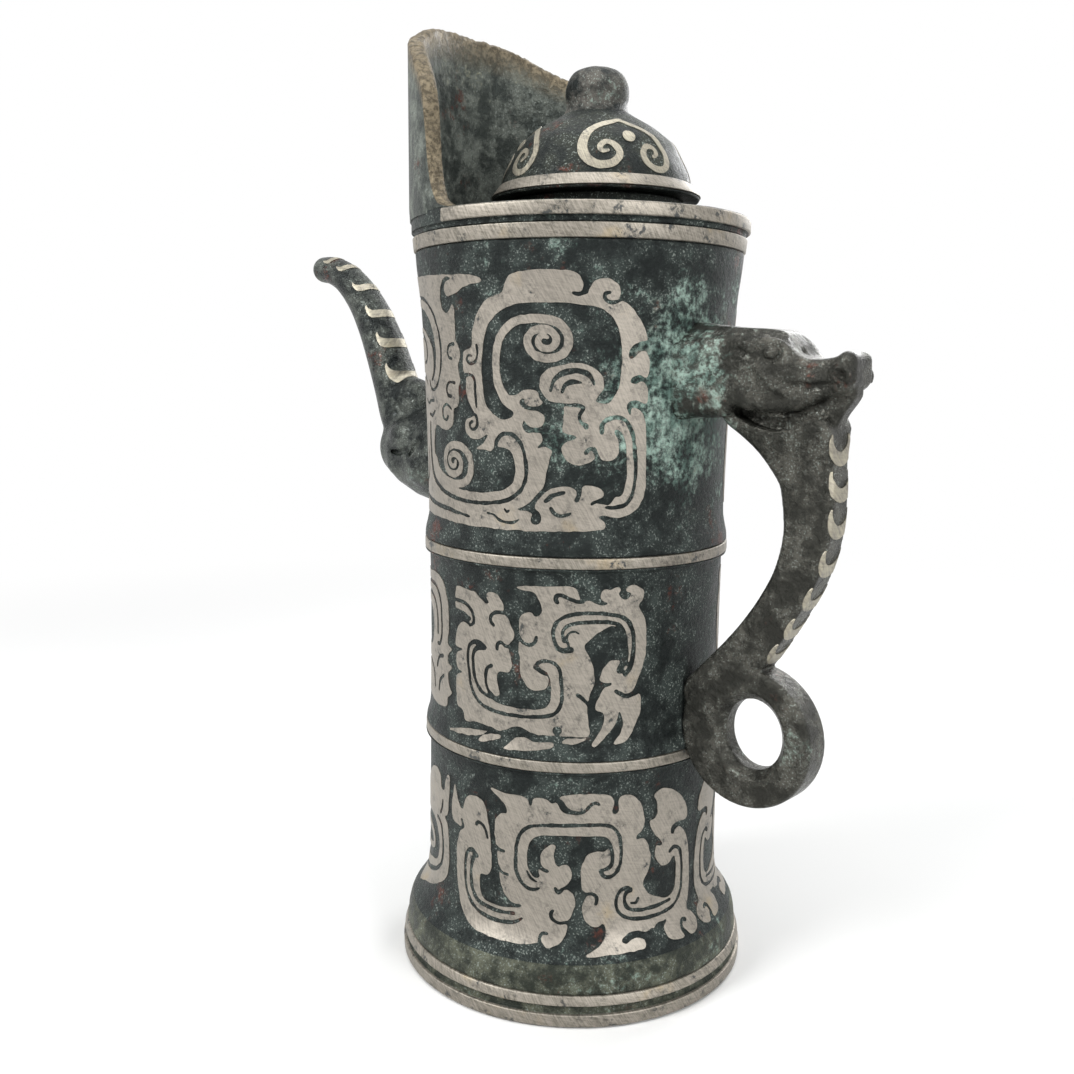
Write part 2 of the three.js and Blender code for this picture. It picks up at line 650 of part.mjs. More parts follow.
// Closes the open edges along a cut, where a corner on one side has no partner on the other.
function stitch(geometry) {
  const mesh = closedMesh(geometry);
  const index = [...mesh.index.array];
  const edges = new Map();
  index.forEach((from, i) => edges.set(`${from} ${index[i % 3 === 2 ? i - 2 : i + 1]}`, from));
  const open = new Map();
  for (const key of edges.keys()) {
    const [from, to] = key.split(' ').map(Number);
    if (!edges.has(`${to} ${from}`)) open.set(from, [...(open.get(from) ?? []), to]);
  }
  while (open.size > 0) {
    const [start] = open.keys();
    const loop = [];
    let at = start;
    do {
      loop.push(at);
      const ways = open.get(at);
      if (ways.length === 1) open.delete(at);
      at = ways.pop();
    } while (at !== start);
    for (let k = 1; k + 1 < loop.length; k += 1) index.push(start, loop[k + 1], loop[k]);
  }
  mesh.setIndex(index);
  return mesh;
}

// Lays a flat plate on a faceted surface: `map` takes across, along and height to a point. The
// plate is cut at the facets' edges, and the walls of these cuts are left out, which are the
// triangles that lie in a cut and span the plate's thickness.
function layPlate(solid, cutsAcross, cutsAlong, map) {
  const positions = [];
  for (const piece of slice(slice([solid], 0, cutsAcross), 1, cutsAlong)) {
    const flat = geometryOf(piece);
    const at = flat.attributes.position;
    for (let i = 0; i < flat.index.count; i += 3) {
      const corners = [0, 1, 2].map((k) => flat.index.getX(i + k))
        .map((k) => [snap(at.getX(k), cutsAcross), snap(at.getY(k), cutsAlong), at.getZ(k)]);
      const level = (axis) => corners.every((corner) => corner[axis] === corners[0][axis]);
      const inCut = [cutsAcross, cutsAlong]
        .some((cuts, axis) => level(axis) && cuts.includes(corners[0][axis]));
      if (level(2) || !inCut) positions.push(...corners.flatMap((corner) => map(...corner).toArray()));
    }
  }
  const geometry = new THREE.BufferGeometry();
  geometry.setAttribute('position', new THREE.Float32BufferAttribute(positions, 3));
  return geometryOf(solidOf(stitch(geometry)));
}

function plate(points, depth = INLAY_THICKNESS, start = 0) {
  const shape = new THREE.Shape(points.map(([x, y]) => new THREE.Vector2(x, y)));
  const block = new THREE.ExtrudeGeometry(shape, { depth, bevelEnabled: false });
  return solidOf(block.translate(0, 0, start));
}

// A plate with strokes cut right through it.
function slitPlate({ outline, slits }) {
  return slits.map((slit) => plate(stroke(slit), INLAY_THICKNESS + 2, -1))
    .reduce((left, cut) => left.subtract(cut), plate(outline));
}

// Outline of a stroke: [across, along, width] points, with both ends cut square.
function stroke(points) {
  const left = [];
  const right = [];
  points.forEach(([x, y, width], i) => {
    const before = points[Math.max(i - 1, 0)];
    const after = points[Math.min(i + 1, points.length - 1)];
    const along = new THREE.Vector2(after[0] - before[0], after[1] - before[1]).normalize();
    left.push([x - (along.y * width) / 2, y + (along.x * width) / 2]);
    right.push([x + (along.y * width) / 2, y - (along.x * width) / 2]);
  });
  return [...left, ...right.reverse()];
}

// A spiral stroke that winds from `outer` radius in to `inner` round a centre.
function spiral([cx, cy], outer, inner, start, turns, width) {
  const steps = Math.round(Math.abs(turns) * 8);
  return stroke(Array.from({ length: steps + 1 }, (_, i) => {
    const share = i / steps;
    const angle = THREE.MathUtils.degToRad(start + 360 * turns * share);
    const radius = THREE.MathUtils.lerp(outer, inner, share);
    return [cx + radius * Math.cos(angle), cy + radius * Math.sin(angle), width];
  }));
}

function ellipse([cx, cy], rx, ry, steps) {
  return Array.from({ length: steps }, (_, i) => {
    const angle = (2 * Math.PI * i) / steps;
    return [cx + rx * Math.cos(angle), cy + ry * Math.sin(angle)];
  });
}

// Dragon panels. Across is measured on the wall from a seam towards the handle, which stands
// a known turn (in degrees) round from the seam, and along is the height.
const seamTurn = THREE.MathUtils.degToRad(PANEL_SEAM_TURN);

const UPPER_PANEL = [
  stroke([[-24, 165.5, 4.6], [-29.2, 173, 3.4], [-29.3, 184, 3.4], [-25.8, 192.3, 4.5], [-18, 197.6, 7],
    [-4, 199.3, 8], [6.5, 195.3, 5.5], [12.6, 187, 6.5], [13.6, 176, 7], [13.8, 166, 6.5],
    [15.4, 158, 3.6], [15.6, 147.5, 3.4], [12, 141.5, 3], [5.5, 139.2, 3]]),
  stroke([[6, 138, 3.6], [-22, 138.6, 4.6], [-45, 138.8, 4.8], [-59, 141.5, 4.4], [-64.5, 149, 4],
    [-65, 165, 4], [-64.5, 185, 4], [-60, 196.5, 5], [-50, 201, 5], [-38, 201.6, 4], [-27, 201, 1.2]]),
  stroke([[-24, 165.5, 5], [-15.5, 162, 6], [-12, 154, 4.6], [-13.5, 146.5, 4.6], [-20, 141, 4]]),
  stroke([[-21.5, 159.2, 2], [-18.2, 158, 2.2], [-16.8, 152, 2.2], [-19.5, 147, 2], [-28, 145, 2],
    [-42, 146.2, 2.2], [-50, 150.5, 2.4], [-53, 158, 2.6], [-53, 168, 4], [-46, 173, 7],
    [-41.5, 182, 8], [-42, 191, 7], [-49, 198, 5]]),
  spiral([-39.8, 153.2], 7.6, 1.8, 215, 1.5, 1.9),
  stroke([[-48, 149.5, 2], [-45.9, 148.9, 2]]),
  stroke([[-19, 164, 5], [-17, 170.6, 3], [-21.6, 173.6, 2.2], [-22.8, 181, 2.2], [-20.8, 188, 2.2],
    [-15, 191.4, 2.2], [-9.8, 191.9, 2]]),
  spiral([-9.8, 185.6], 6.3, 1.6, 90, -1.5, 1.9),
  stroke([[-17, 169, 4], [-12.5, 170.5, 3.4]]),
  ellipse([-3.4, 174.6], 7.8, 5, 10),
  stroke([[-1, 171, 6], [6, 168.2, 5], [13, 168, 5]]),
  stroke([[-3, 171, 3.4], [-3.4, 163.5, 3.4], [-2, 159, 3.6], [8, 157.6, 5]]),
  stroke([[-12, 139, 4], [-9.5, 144.5, 4.5], [-3, 146, 4], [3, 144.5, 4.5], [3.5, 138, 5]]),
];

const MIDDLE_PANEL = {
  outline: [
    [-39, 118.2], [-29.4, 117.6], [-27.6, 115.4], [-26.2, 118.4], [-23.4, 118.2], [-21.5, 114],
    [-18.6, 109], [-18.4, 105.5], [-19.8, 103], [-19.2, 98.5], [-21, 96.4], [-23.3, 95],
    [-22.8, 90.3], [-21, 87.3], [-11, 87.3], [-8.3, 89.5], [-8.4, 94.5], [-11.8, 92.3],
    [-15.2, 94.5], [-16.4, 100], [-16.8, 113], [-18.2, 120.8], [-3, 121.2], [-0.4, 119],
    [-1.5, 117.2], [4, 116.8], [5.7, 119.5], [8.5, 120.9], [11.6, 119.6], [12.2, 117.8],
    [14.5, 121.5], [17.6, 120], [16.6, 116], [18.8, 109], [18.6, 101], [16.6, 94.5],
    [12.8, 92.4], [17.3, 91], [17.2, 84], [12, 78.2], [10, 82], [7.5, 79.6], [3.8, 79], [7, 82.5],
    [6.5, 87], [4.6, 88], [6.5, 92], [6.2, 97], [9, 101], [11.3, 100.9], [12.8, 104],
    [12.2, 108], [9.5, 110.4], [6, 110], [1.3, 105.2], [2.8, 101.5], [3.7, 96], [3.3, 91],
    [2.6, 86], [1.6, 80.8], [-35.4, 80.7], [-38.8, 84.2], [-39.5, 99.8],
  ],
  slits: [
    [[-28.5, 102.4, 1], [-31.5, 103.5, 1], [-34, 99.5, 1], [-33.4, 92, 1], [-30, 86.6, 1],
      [-19, 84.8, 1], [-7.5, 85.9, 1], [-5, 89.5, 1], [-5, 96, 1], [-7.5, 100.2, 1], [-11, 99.6, 1]],
    [[-2.8, 104.6, 1], [-5.6, 105, 1], [-6.8, 109, 1], [-4.6, 112.8, 1], [1, 114.1, 1],
      [8, 113.9, 1], [12.8, 111.6, 1], [14.9, 106, 1], [14.6, 100, 1], [12.8, 97, 1]],
  ],
};

const LOWER_PANEL = {
  outline: [
    [-39.8, 60.5], [-38.2, 56], [-35.6, 54], [-35, 57.5], [-32, 59.2], [-28, 58.6], [-26.3, 54.5],
    [-25.4, 47], [-25, 40], [-26.3, 36.9], [-28.6, 36.6], [-28.8, 31.5], [-26, 29.2], [-17.7, 29.3],
    [-14.8, 30.6], [-18.6, 31.3], [-21.3, 34.5], [-22.6, 40], [-23.1, 46], [-23.8, 51],
    [-22.6, 55.3], [-20.3, 56.6], [-21, 59], [-25.1, 62.5], [-15.4, 62.2], [-13, 59.6],
    [-11.5, 62.2], [-4.3, 63.4], [6.9, 63.6], [10, 61.5], [9.8, 58.3], [11.6, 58.6], [12, 62.3],
    [15.8, 62.4], [19, 57.5], [19.2, 53.5], [17.8, 50.5], [20.6, 47.6], [21.4, 43], [19.6, 36.8],
    [23.5, 32], [28.4, 30.4], [30.8, 33.5], [30.8, 40], [28.8, 42.5], [25.5, 41], [22.8, 44.5],
    [24, 48.3], [21, 52], [23.2, 62.8], [28, 62.6], [33.5, 59], [35, 52.5], [32, 51.5], [34.8, 48],
    [36, 40], [36, 31], [35, 26.5], [36, 22], [34, 19.6], [29.5, 19.6], [26, 20.4], [26.2, 23.6],
    [21, 22.5], [18.8, 20], [2, 19.6], [7.5, 23], [7.4, 27], [5.2, 25.8], [2.5, 26.8], [1.6, 31],
    [2.8, 35], [1.4, 38], [1.4, 43.5], [3.6, 47.2], [8, 47.2], [9.4, 50], [6.9, 51.8],
    [-8.7, 51.8], [-12.6, 50.5], [-13.8, 44], [-10.5, 42.5], [-6.1, 44.5], [-3.2, 43.6],
    [-1.5, 40], [-2.3, 36.6], [-0.4, 32], [-1.5, 28.3], [-3.2, 25.8], [-4.3, 22], [-7, 20.6],
    [-27.3, 21], [-34, 23.5], [-38.2, 31], [-39, 39], [-37.8, 46], [-40, 52],
  ],
  slits: [
    [[-10.5, 36.2, 1], [-14, 36.4, 1], [-17, 40, 1], [-17.1, 47.5, 1], [-14.4, 52.9, 1],
      [-6.5, 54.9, 1], [8, 54.9, 1], [11.9, 51, 1], [12.4, 44, 1], [11, 40.2, 1], [8, 39.8, 1]],
    [[-31, 41.5, 1], [-33.5, 42.8, 1], [-34.9, 38, 1], [-34.3, 31, 1], [-31, 26.3, 1],
      [-24, 24.9, 1], [-16.8, 25.8, 1]],
    [[15.2, 35.8, 1], [12, 35.2, 1], [11, 31, 1], [13.6, 27.6, 1], [20, 26.4, 1], [29.5, 27.4, 1],
      [33, 32, 1], [33.4, 40, 1], [31.5, 44.4, 1]],
  ],
};

const facetCuts = [];
for (let k = -FACETS; k <= FACETS; k += 1) facetCuts.push((k * FACET_ANGLE + seamTurn) * PANEL_RADIUS);
const wallCuts = trimTable.map(([height]) => height);

// Lays a panel on the wall on one side, or its mirror image on the other.
function panelMap(side) {
  return (across, along, height) => {
    const turn = (across / PANEL_RADIUS - seamTurn) / FACET_ANGLE;
    const facet = Math.floor(turn + 1e-9);
    const share = turn - facet;
    const radius = piecewise(radiusTable, along) + SEAT_GAP + height;
    const [from, to] = [facet * FACET_ANGLE, (facet + 1) * FACET_ANGLE];
    return new THREE.Vector3(
      radius * THREE.MathUtils.lerp(Math.cos(from), Math.cos(to), share),
      side * radius * THREE.MathUtils.lerp(Math.sin(from), Math.sin(to), share),
      along,
    );
  };
}

function joined(outlines) {
  return outlines.map((outline) => plate(outline)).reduce((sum, next) => sum.add(next));
}

const panels = {
  upper: joined(UPPER_PANEL),
  middle: slitPlate(MIDDLE_PANEL),
  lower: slitPlate(LOWER_PANEL),
};
for (const [tier, flat] of Object.entries(panels)) {
  for (const [name, side] of [['near', 1], ['far', -1]]) {
    addPart(`dragon_inlay_${tier}_${name}`, layPlate(flat, facetCuts, wallCuts, panelMap(side)), SILVER);
  }
}

// Crescents on the handle's outer face and on the spout's upper face

const crescentHorn = (CRESCENT_R ** 2 - CRESCENT_BITE_R ** 2 + CRESCENT_BITE_RISE ** 2)
  / (2 * CRESCENT_BITE_RISE);

function crescent(scale) {
  const outerHorn = Math.asin(crescentHorn / CRESCENT_R);
  const innerHorn = Math.asin((crescentHorn - CRESCENT_BITE_RISE) / CRESCENT_BITE_R);
  const outer = Array.from({ length: 8 }, (_, i) => {
    const angle = outerHorn - ((Math.PI + 2 * outerHorn) * i) / 7;
    return [CRESCENT_R * Math.cos(angle), CRESCENT_R * Math.sin(angle)];
  });
  const inner = Array.from({ length: 5 }, (_, i) => {
    const angle = Math.PI - innerHorn + ((Math.PI + 2 * innerHorn) * (i + 1)) / 6;
    return [CRESCENT_BITE_R * Math.cos(angle), CRESCENT_BITE_RISE + CRESCENT_BITE_R * Math.sin(angle)];
  });
  const rise = (CRESCENT_R - crescentHorn) / 2;
  return [...outer, ...inner].map(([x, y]) => [x * scale, (y + rise) * scale]);
}

// Lays a crescent on a swept piece between two of its rings, with its horns towards `high`.
// `corners` lists the ring corners that it may cover, from one side to the other.
function layCrescent(low, high, corners, scale) {
  const spots = corners.map((corner) => low[corner].clone().lerp(high[corner], 0.5));
  const edges = [0];
  spots.slice(1).forEach((spot, i) => edges.push(edges[i] + spot.distanceTo(spots[i])));
  const middle = edges[edges.length - 1] / 2;
  const inner = [corners[1], corners[corners.length - 2]];
  const [start, end] = [low, high].map((ring) => ring[inner[0]].clone().lerp(ring[inner[1]], 0.5));
  const span = start.distanceTo(end);
  const cores = [low, high].map((ring) =>
    ring.reduce((sum, p) => sum.add(p), new THREE.Vector3()).divideScalar(ring.length));
  const cuts = edges.slice(1, -1).map((edge) => edge - middle);
  return layPlate(plate(crescent(scale)), cuts, [], (across, along, height) => {
    const at = across + middle;
    const k = Math.min(Math.max(edges.findIndex((edge) => at < edge - 1e-9), 1), edges.length - 1) - 1;
    const rise = 0.5 + along / span;
    const from = low[corners[k]].clone().lerp(high[corners[k]], rise);
    const to = low[corners[k + 1]].clone().lerp(high[corners[k + 1]], rise);
    const point = from.lerp(to, (at - edges[k]) / (edges[k + 1] - edges[k]));
    const out = point.clone().sub(cores[0].clone().lerp(cores[1], rise)).normalize();
    return point.addScaledVector(out, CRESCENT_GAP + height);
  });
}

const STRAP_CRESCENTS = 7;
const outerFace = [6, 7, 0, 1];
for (let i = 0; i < STRAP_CRESCENTS; i += 1) {
  const laid = layCrescent(strapRings[i + 2], strapRings[i + 1], outerFace, 1);
  addPart(`handle_crescent_${i + 1}`, laid, SILVER);
}

const SPOUT_CRESCENTS = 6;
const upperFace = [-3, -2, -1, 0, 1, 2, 3].map((k) => (k + SPOUT_SIDES) % SPOUT_SIDES);
for (let i = 0; i < SPOUT_CRESCENTS; i += 1) {
  const scale = THREE.MathUtils.lerp(1.3, 0.85, i / (SPOUT_CRESCENTS - 1));
  const laid = layCrescent(tubeRings[i + 3], tubeRings[i + 4], upperFace, scale);
  addPart(`spout_crescent_${i + 1}`, laid, SILVER);
}

// Scrolls on the lid: four arches, each with two inward curls, and a dot below each arch.
// Across is measured at a reference radius and along up the dome from the silver band.
const SCROLL_COUNT = 4;
const SCROLL_TURN = -32;
const SCROLL_RADIUS = 24;
const SCROLL = stroke([[-4.6, 8, 1.5], [-2.4, 8, 1.6], [-1.4, 5.2, 1.7], [-3.4, 2.8, 1.9], [-6.6, 2.8, 2],
  [-9.8, 5.4, 2.4], [-9.8, 9.8, 2.4], [-6, 14.8, 1.8], [0.2, 17.4, 1.6], [6, 14.8, 1.6], [10.6, 8.8, 1.6],
  [10.8, 3.8, 1.8], [8.6, 1.9, 1.7], [5.4, 4, 1.7], [4.6, 7.4, 1.6], [7.2, 8.6, 1.5]]);
const SCROLL_DOT = ellipse([1.6, 11.6], 2, 1.7, 6);

const domeLengths = domeProfile.slice(1).map(([radius, z], i) =>
  Math.hypot(radius - domeProfile[i][0], z - domeProfile[i][1]));
const domeCuts = [0];
domeLengths.forEach((length, i) => domeCuts.push(domeCuts[i] + length));
const domeNormals = domeProfile.map((spot, i) => {
  const before = domeProfile[Math.max(i - 1, 0)];
  const after = domeProfile[Math.min(i + 1, domeProfile.length - 1)];
  return new THREE.Vector2(after[1] - before[1], before[0] - after[0]).normalize();
});

function lidMap(middle) {
  return (across, along, height) => {
    const k = Math.min(Math.max(domeCuts.findIndex((cut) => along < cut - 1e-9), 1), domeCuts.length - 1) - 1;
    const share = (along - domeCuts[k]) / domeLengths[k];
    const out = domeNormals[k].clone().lerp(domeNormals[k + 1], share);
    const lift = 1.5 * SEAT_GAP + height;
    const radius = THREE.MathUtils.lerp(domeProfile[k][0], domeProfile[k + 1][0], share) + lift * out.x;
    const z = THREE.MathUtils.lerp(domeProfile[k][1], domeProfile[k + 1][1], share) + lift * out.y;
    const turn = (middle + across / SCROLL_RADIUS) / LID_FACET_ANGLE;
    const facet = Math.floor(turn + 1e-9);
    const [from, to] = [facet * LID_FACET_ANGLE, (facet + 1) * LID_FACET_ANGLE];
    return new THREE.Vector3(
      LID_OFFSET + radius * THREE.MathUtils.lerp(Math.cos(from), Math.cos(to), turn - facet),
      radius * THREE.MathUtils.lerp(Math.sin(from), Math.sin(to), turn - facet),
      z,
    );
  };
}

for (let i = 0; i < SCROLL_COUNT; i += 1) {
  const middle = THREE.MathUtils.degToRad(SCROLL_TURN) + (2 * Math.PI * i) / SCROLL_COUNT;
  const cuts = [];
  for (let k = -2 * LID_FACETS; k <= 2 * LID_FACETS; k += 1) {
    cuts.push((k * LID_FACET_ANGLE - middle) * SCROLL_RADIUS);
  }
  addPart(`lid_scroll_${i + 1}`, layPlate(plate(SCROLL), cuts, domeCuts, lidMap(middle)), SILVER);
  addPart(`lid_dot_${i + 1}`, layPlate(plate(SCROLL_DOT), cuts, domeCuts, lidMap(middle)), SILVER);
}

// The origin is the middle of the outer box on the surface that the vessel stands on.
const middle = new THREE.Box3().setFromObject(ewer).getCenter(new THREE.Vector3());
ewer.position.set(-middle.x, -middle.y, 0);

export default ewer;
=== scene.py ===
"""Ritual bronze ewer inlaid with silver, dressed for a studio picture.

Sizes are in millimetres from the vessel's axis, with the handle along +X and +Z up. The last step
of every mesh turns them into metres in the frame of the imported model.
"""

from __future__ import annotations

import logging
import math
from dataclasses import dataclass, field
from enum import Enum
from typing import Callable, Sequence

import bmesh
import bpy
import numpy as np
from mathutils import Matrix, Vector
from mathutils.geometry import delaunay_2d_cdt

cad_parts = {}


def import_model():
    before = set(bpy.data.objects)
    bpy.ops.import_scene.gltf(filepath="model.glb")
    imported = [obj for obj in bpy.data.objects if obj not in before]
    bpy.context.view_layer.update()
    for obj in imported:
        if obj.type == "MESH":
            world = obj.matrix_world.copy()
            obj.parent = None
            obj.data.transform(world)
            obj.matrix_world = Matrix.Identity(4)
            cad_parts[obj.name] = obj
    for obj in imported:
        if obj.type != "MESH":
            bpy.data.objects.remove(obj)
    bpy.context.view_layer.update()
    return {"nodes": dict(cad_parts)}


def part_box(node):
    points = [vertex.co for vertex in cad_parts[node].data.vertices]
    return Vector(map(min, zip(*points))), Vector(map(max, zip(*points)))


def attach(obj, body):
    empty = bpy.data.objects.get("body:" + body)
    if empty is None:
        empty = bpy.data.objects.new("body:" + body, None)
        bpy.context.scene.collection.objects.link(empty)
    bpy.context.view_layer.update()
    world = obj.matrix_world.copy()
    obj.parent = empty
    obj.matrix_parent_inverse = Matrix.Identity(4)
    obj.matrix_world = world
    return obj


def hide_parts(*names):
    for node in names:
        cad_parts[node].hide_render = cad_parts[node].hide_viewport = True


LOG = logging.getLogger("ewer")

MM = 0.001
WALL_RADIUS = 44.0
VESSEL = "vessel"
LID = "lid"

Array = np.ndarray
Socket = bpy.types.NodeSocket
Material = bpy.types.Material
Object = bpy.types.Object
Path = Sequence[tuple[float, ...]]
Colour = tuple[float, float, float]
Span = tuple[tuple[float, float, float], tuple[float, float, float]]


class Slot(Enum):
    """Kinds of material named when pieces are dressed."""

    BRONZE = "bronze"
    SILVER = "silver"


class Side(Enum):
    """Sides of the handle's plane, with the sign of Y on each."""

    NEAR = -1
    FAR = 1


# Curves


def smooth(points: Path, step: float, closed: bool = False) -> Array:
    """Runs a centripetal Catmull-Rom curve through points.

    Args:
        points: Points to pass through; columns after the first two are blended along.
        step: Longest distance between two samples.
        closed: Whether the last point joins the first.

    Returns:
        The samples, one row each.
    """
    given = np.asarray(points, float)
    if closed:
        ends = np.vstack([given[-1:], given, given[:2]])
    else:
        ends = np.vstack([2 * given[:1] - given[1:2], given, 2 * given[-1:] - given[-2:-1]])
    rows = []
    for i in range(1, len(ends) - 2):
        a, b, c, d = ends[i - 1 : i + 3]
        gaps = [max(float(np.hypot(*(q - p)[:2])), 1e-6) for p, q in ((a, b), (b, c), (c, d))]
        t1 = gaps[0] ** 0.5
        t2 = t1 + gaps[1] ** 0.5
        t3 = t2 + gaps[2] ** 0.5
        count = max(1, math.ceil(gaps[1] / step))
        t = np.linspace(t1, t2, count, endpoint=False)[:, None]
        first = (t1 - t) / t1 * a + t / t1 * b
        second = (t2 - t) / (t2 - t1) * b + (t - t1) / (t2 - t1) * c
        third = (t3 - t) / (t3 - t2) * c + (t - t2) / (t3 - t2) * d
        left = (t2 - t) / t2 * first + t / t2 * second
        right = (t3 - t) / (t3 - t1) * second + (t - t1) / (t3 - t1) * third
        rows.append((t2 - t) / (t2 - t1) * left + (t - t1) / (t2 - t1) * right)
    if not closed:
        rows.append(given[-1:])
    return np.vstack(rows)


def fillet(profile: Path, step: float = 2.5, closed: bool = True) -> Array:
    """Rounds the corners of a profile and divides its long edges.

    Args:
        profile: Corners as (radius, height, rounding).
        step: Longest edge that is left undivided.
        closed: Whether the last corner joins the first.

    Returns:
        The finer profile as (radius, height) rows.
    """
    corners = [np.array(corner[:2], float) for corner in profile]
    count = len(corners)
    rows: list[Array] = []
    for i, corner in enumerate(profile):
        here = corners[i]
        rounding = corner[2] if len(corner) > 2 else 0.0
        at_end = not closed and i in (0, count - 1)
        if rounding <= 0 or at_end:
            rows.append(here)
            continue
        before, after = corners[i - 1] - here, corners[(i + 1) % count] - here
        start = here + before * min(0.5, rounding / max(np.hypot(*before), 1e-9))
        end = here + after * min(0.5, rounding / max(np.hypot(*after), 1e-9))
        steps = 3 if rounding < 1.5 else 6
        for t in np.linspace(0, 1, steps + 1):
            rows.append((1 - t) ** 2 * start + 2 * t * (1 - t) * here + t**2 * end)
    finer: list[Array] = []
    last = len(rows) if closed else len(rows) - 1
    for i in range(last):
        here, there = rows[i], rows[(i + 1) % len(rows)]
        gap = float(np.hypot(*(there - here)))
        if gap < 1e-4:
            continue
        pieces = max(1, math.ceil(gap / step))
        finer.extend(here + (there - here) * k / pieces for k in range(pieces))
    if not closed:
        finer.append(rows[-1])
    return np.array(finer)


# Distance fields


def segment_field(x: Array, y: Array, path: Array) -> Array:
    """Distance to a stroke of (x, y, width) points, below zero inside it."""
    best = np.full(x.shape, 1e3, np.float32)
    for start, end in zip(path[:-1], path[1:]):
        run = end - start
        length = max(float(run[0] ** 2 + run[1] ** 2), 1e-9)
        share = np.clip(((x - start[0]) * run[0] + (y - start[1]) * run[1]) / length, 0, 1)
        gap = np.hypot(x - start[0] - share * run[0], y - start[1] - share * run[1])
        best = np.minimum(best, gap - 0.5 * (start[2] + share * run[2]))
    return best


def polygon_field(x: Array, y: Array, outline: Array) -> Array:
    """Distance to a closed outline, below zero inside it."""
    best = np.full(x.shape, 1e6, np.float32)
    inside = np.zeros(x.shape, bool)
    for (ax, ay), (bx, by) in zip(outline[:, :2], np.roll(outline[:, :2], -1, axis=0)):
        run_x, run_y = bx - ax, by - ay
        length = max(run_x**2 + run_y**2, 1e-9)
        share = np.clip(((x - ax) * run_x + (y - ay) * run_y) / length, 0, 1)
        best = np.minimum(best, (x - ax - share * run_x) ** 2 + (y - ay - share * run_y) ** 2)
        if ay != by:
            crosses = (ay > y) != (by > y)
            inside ^= crosses & (x < ax + (y - ay) * run_x / (by - ay))
    return np.where(inside, -1, 1) * np.sqrt(best)


def soft_min(a: Array, b: Array, blend: float) -> Array:
    """Smaller of two fields, with a rounded seam of size blend."""
    share = np.clip(blend - np.abs(a - b), 0, None) / max(blend, 1e-6)
    return np.minimum(a, b) - share**2 * blend * 0.25


def rounded_meet(a: Array, b: Array, rounding: float) -> Array:
    """Meeting of two fields, with a rounded edge."""
    u, v = a + rounding, b + rounding
    outside = np.hypot(np.maximum(u, 0), np.maximum(v, 0))
    return outside + np.minimum(np.maximum(u, v), 0) - rounding


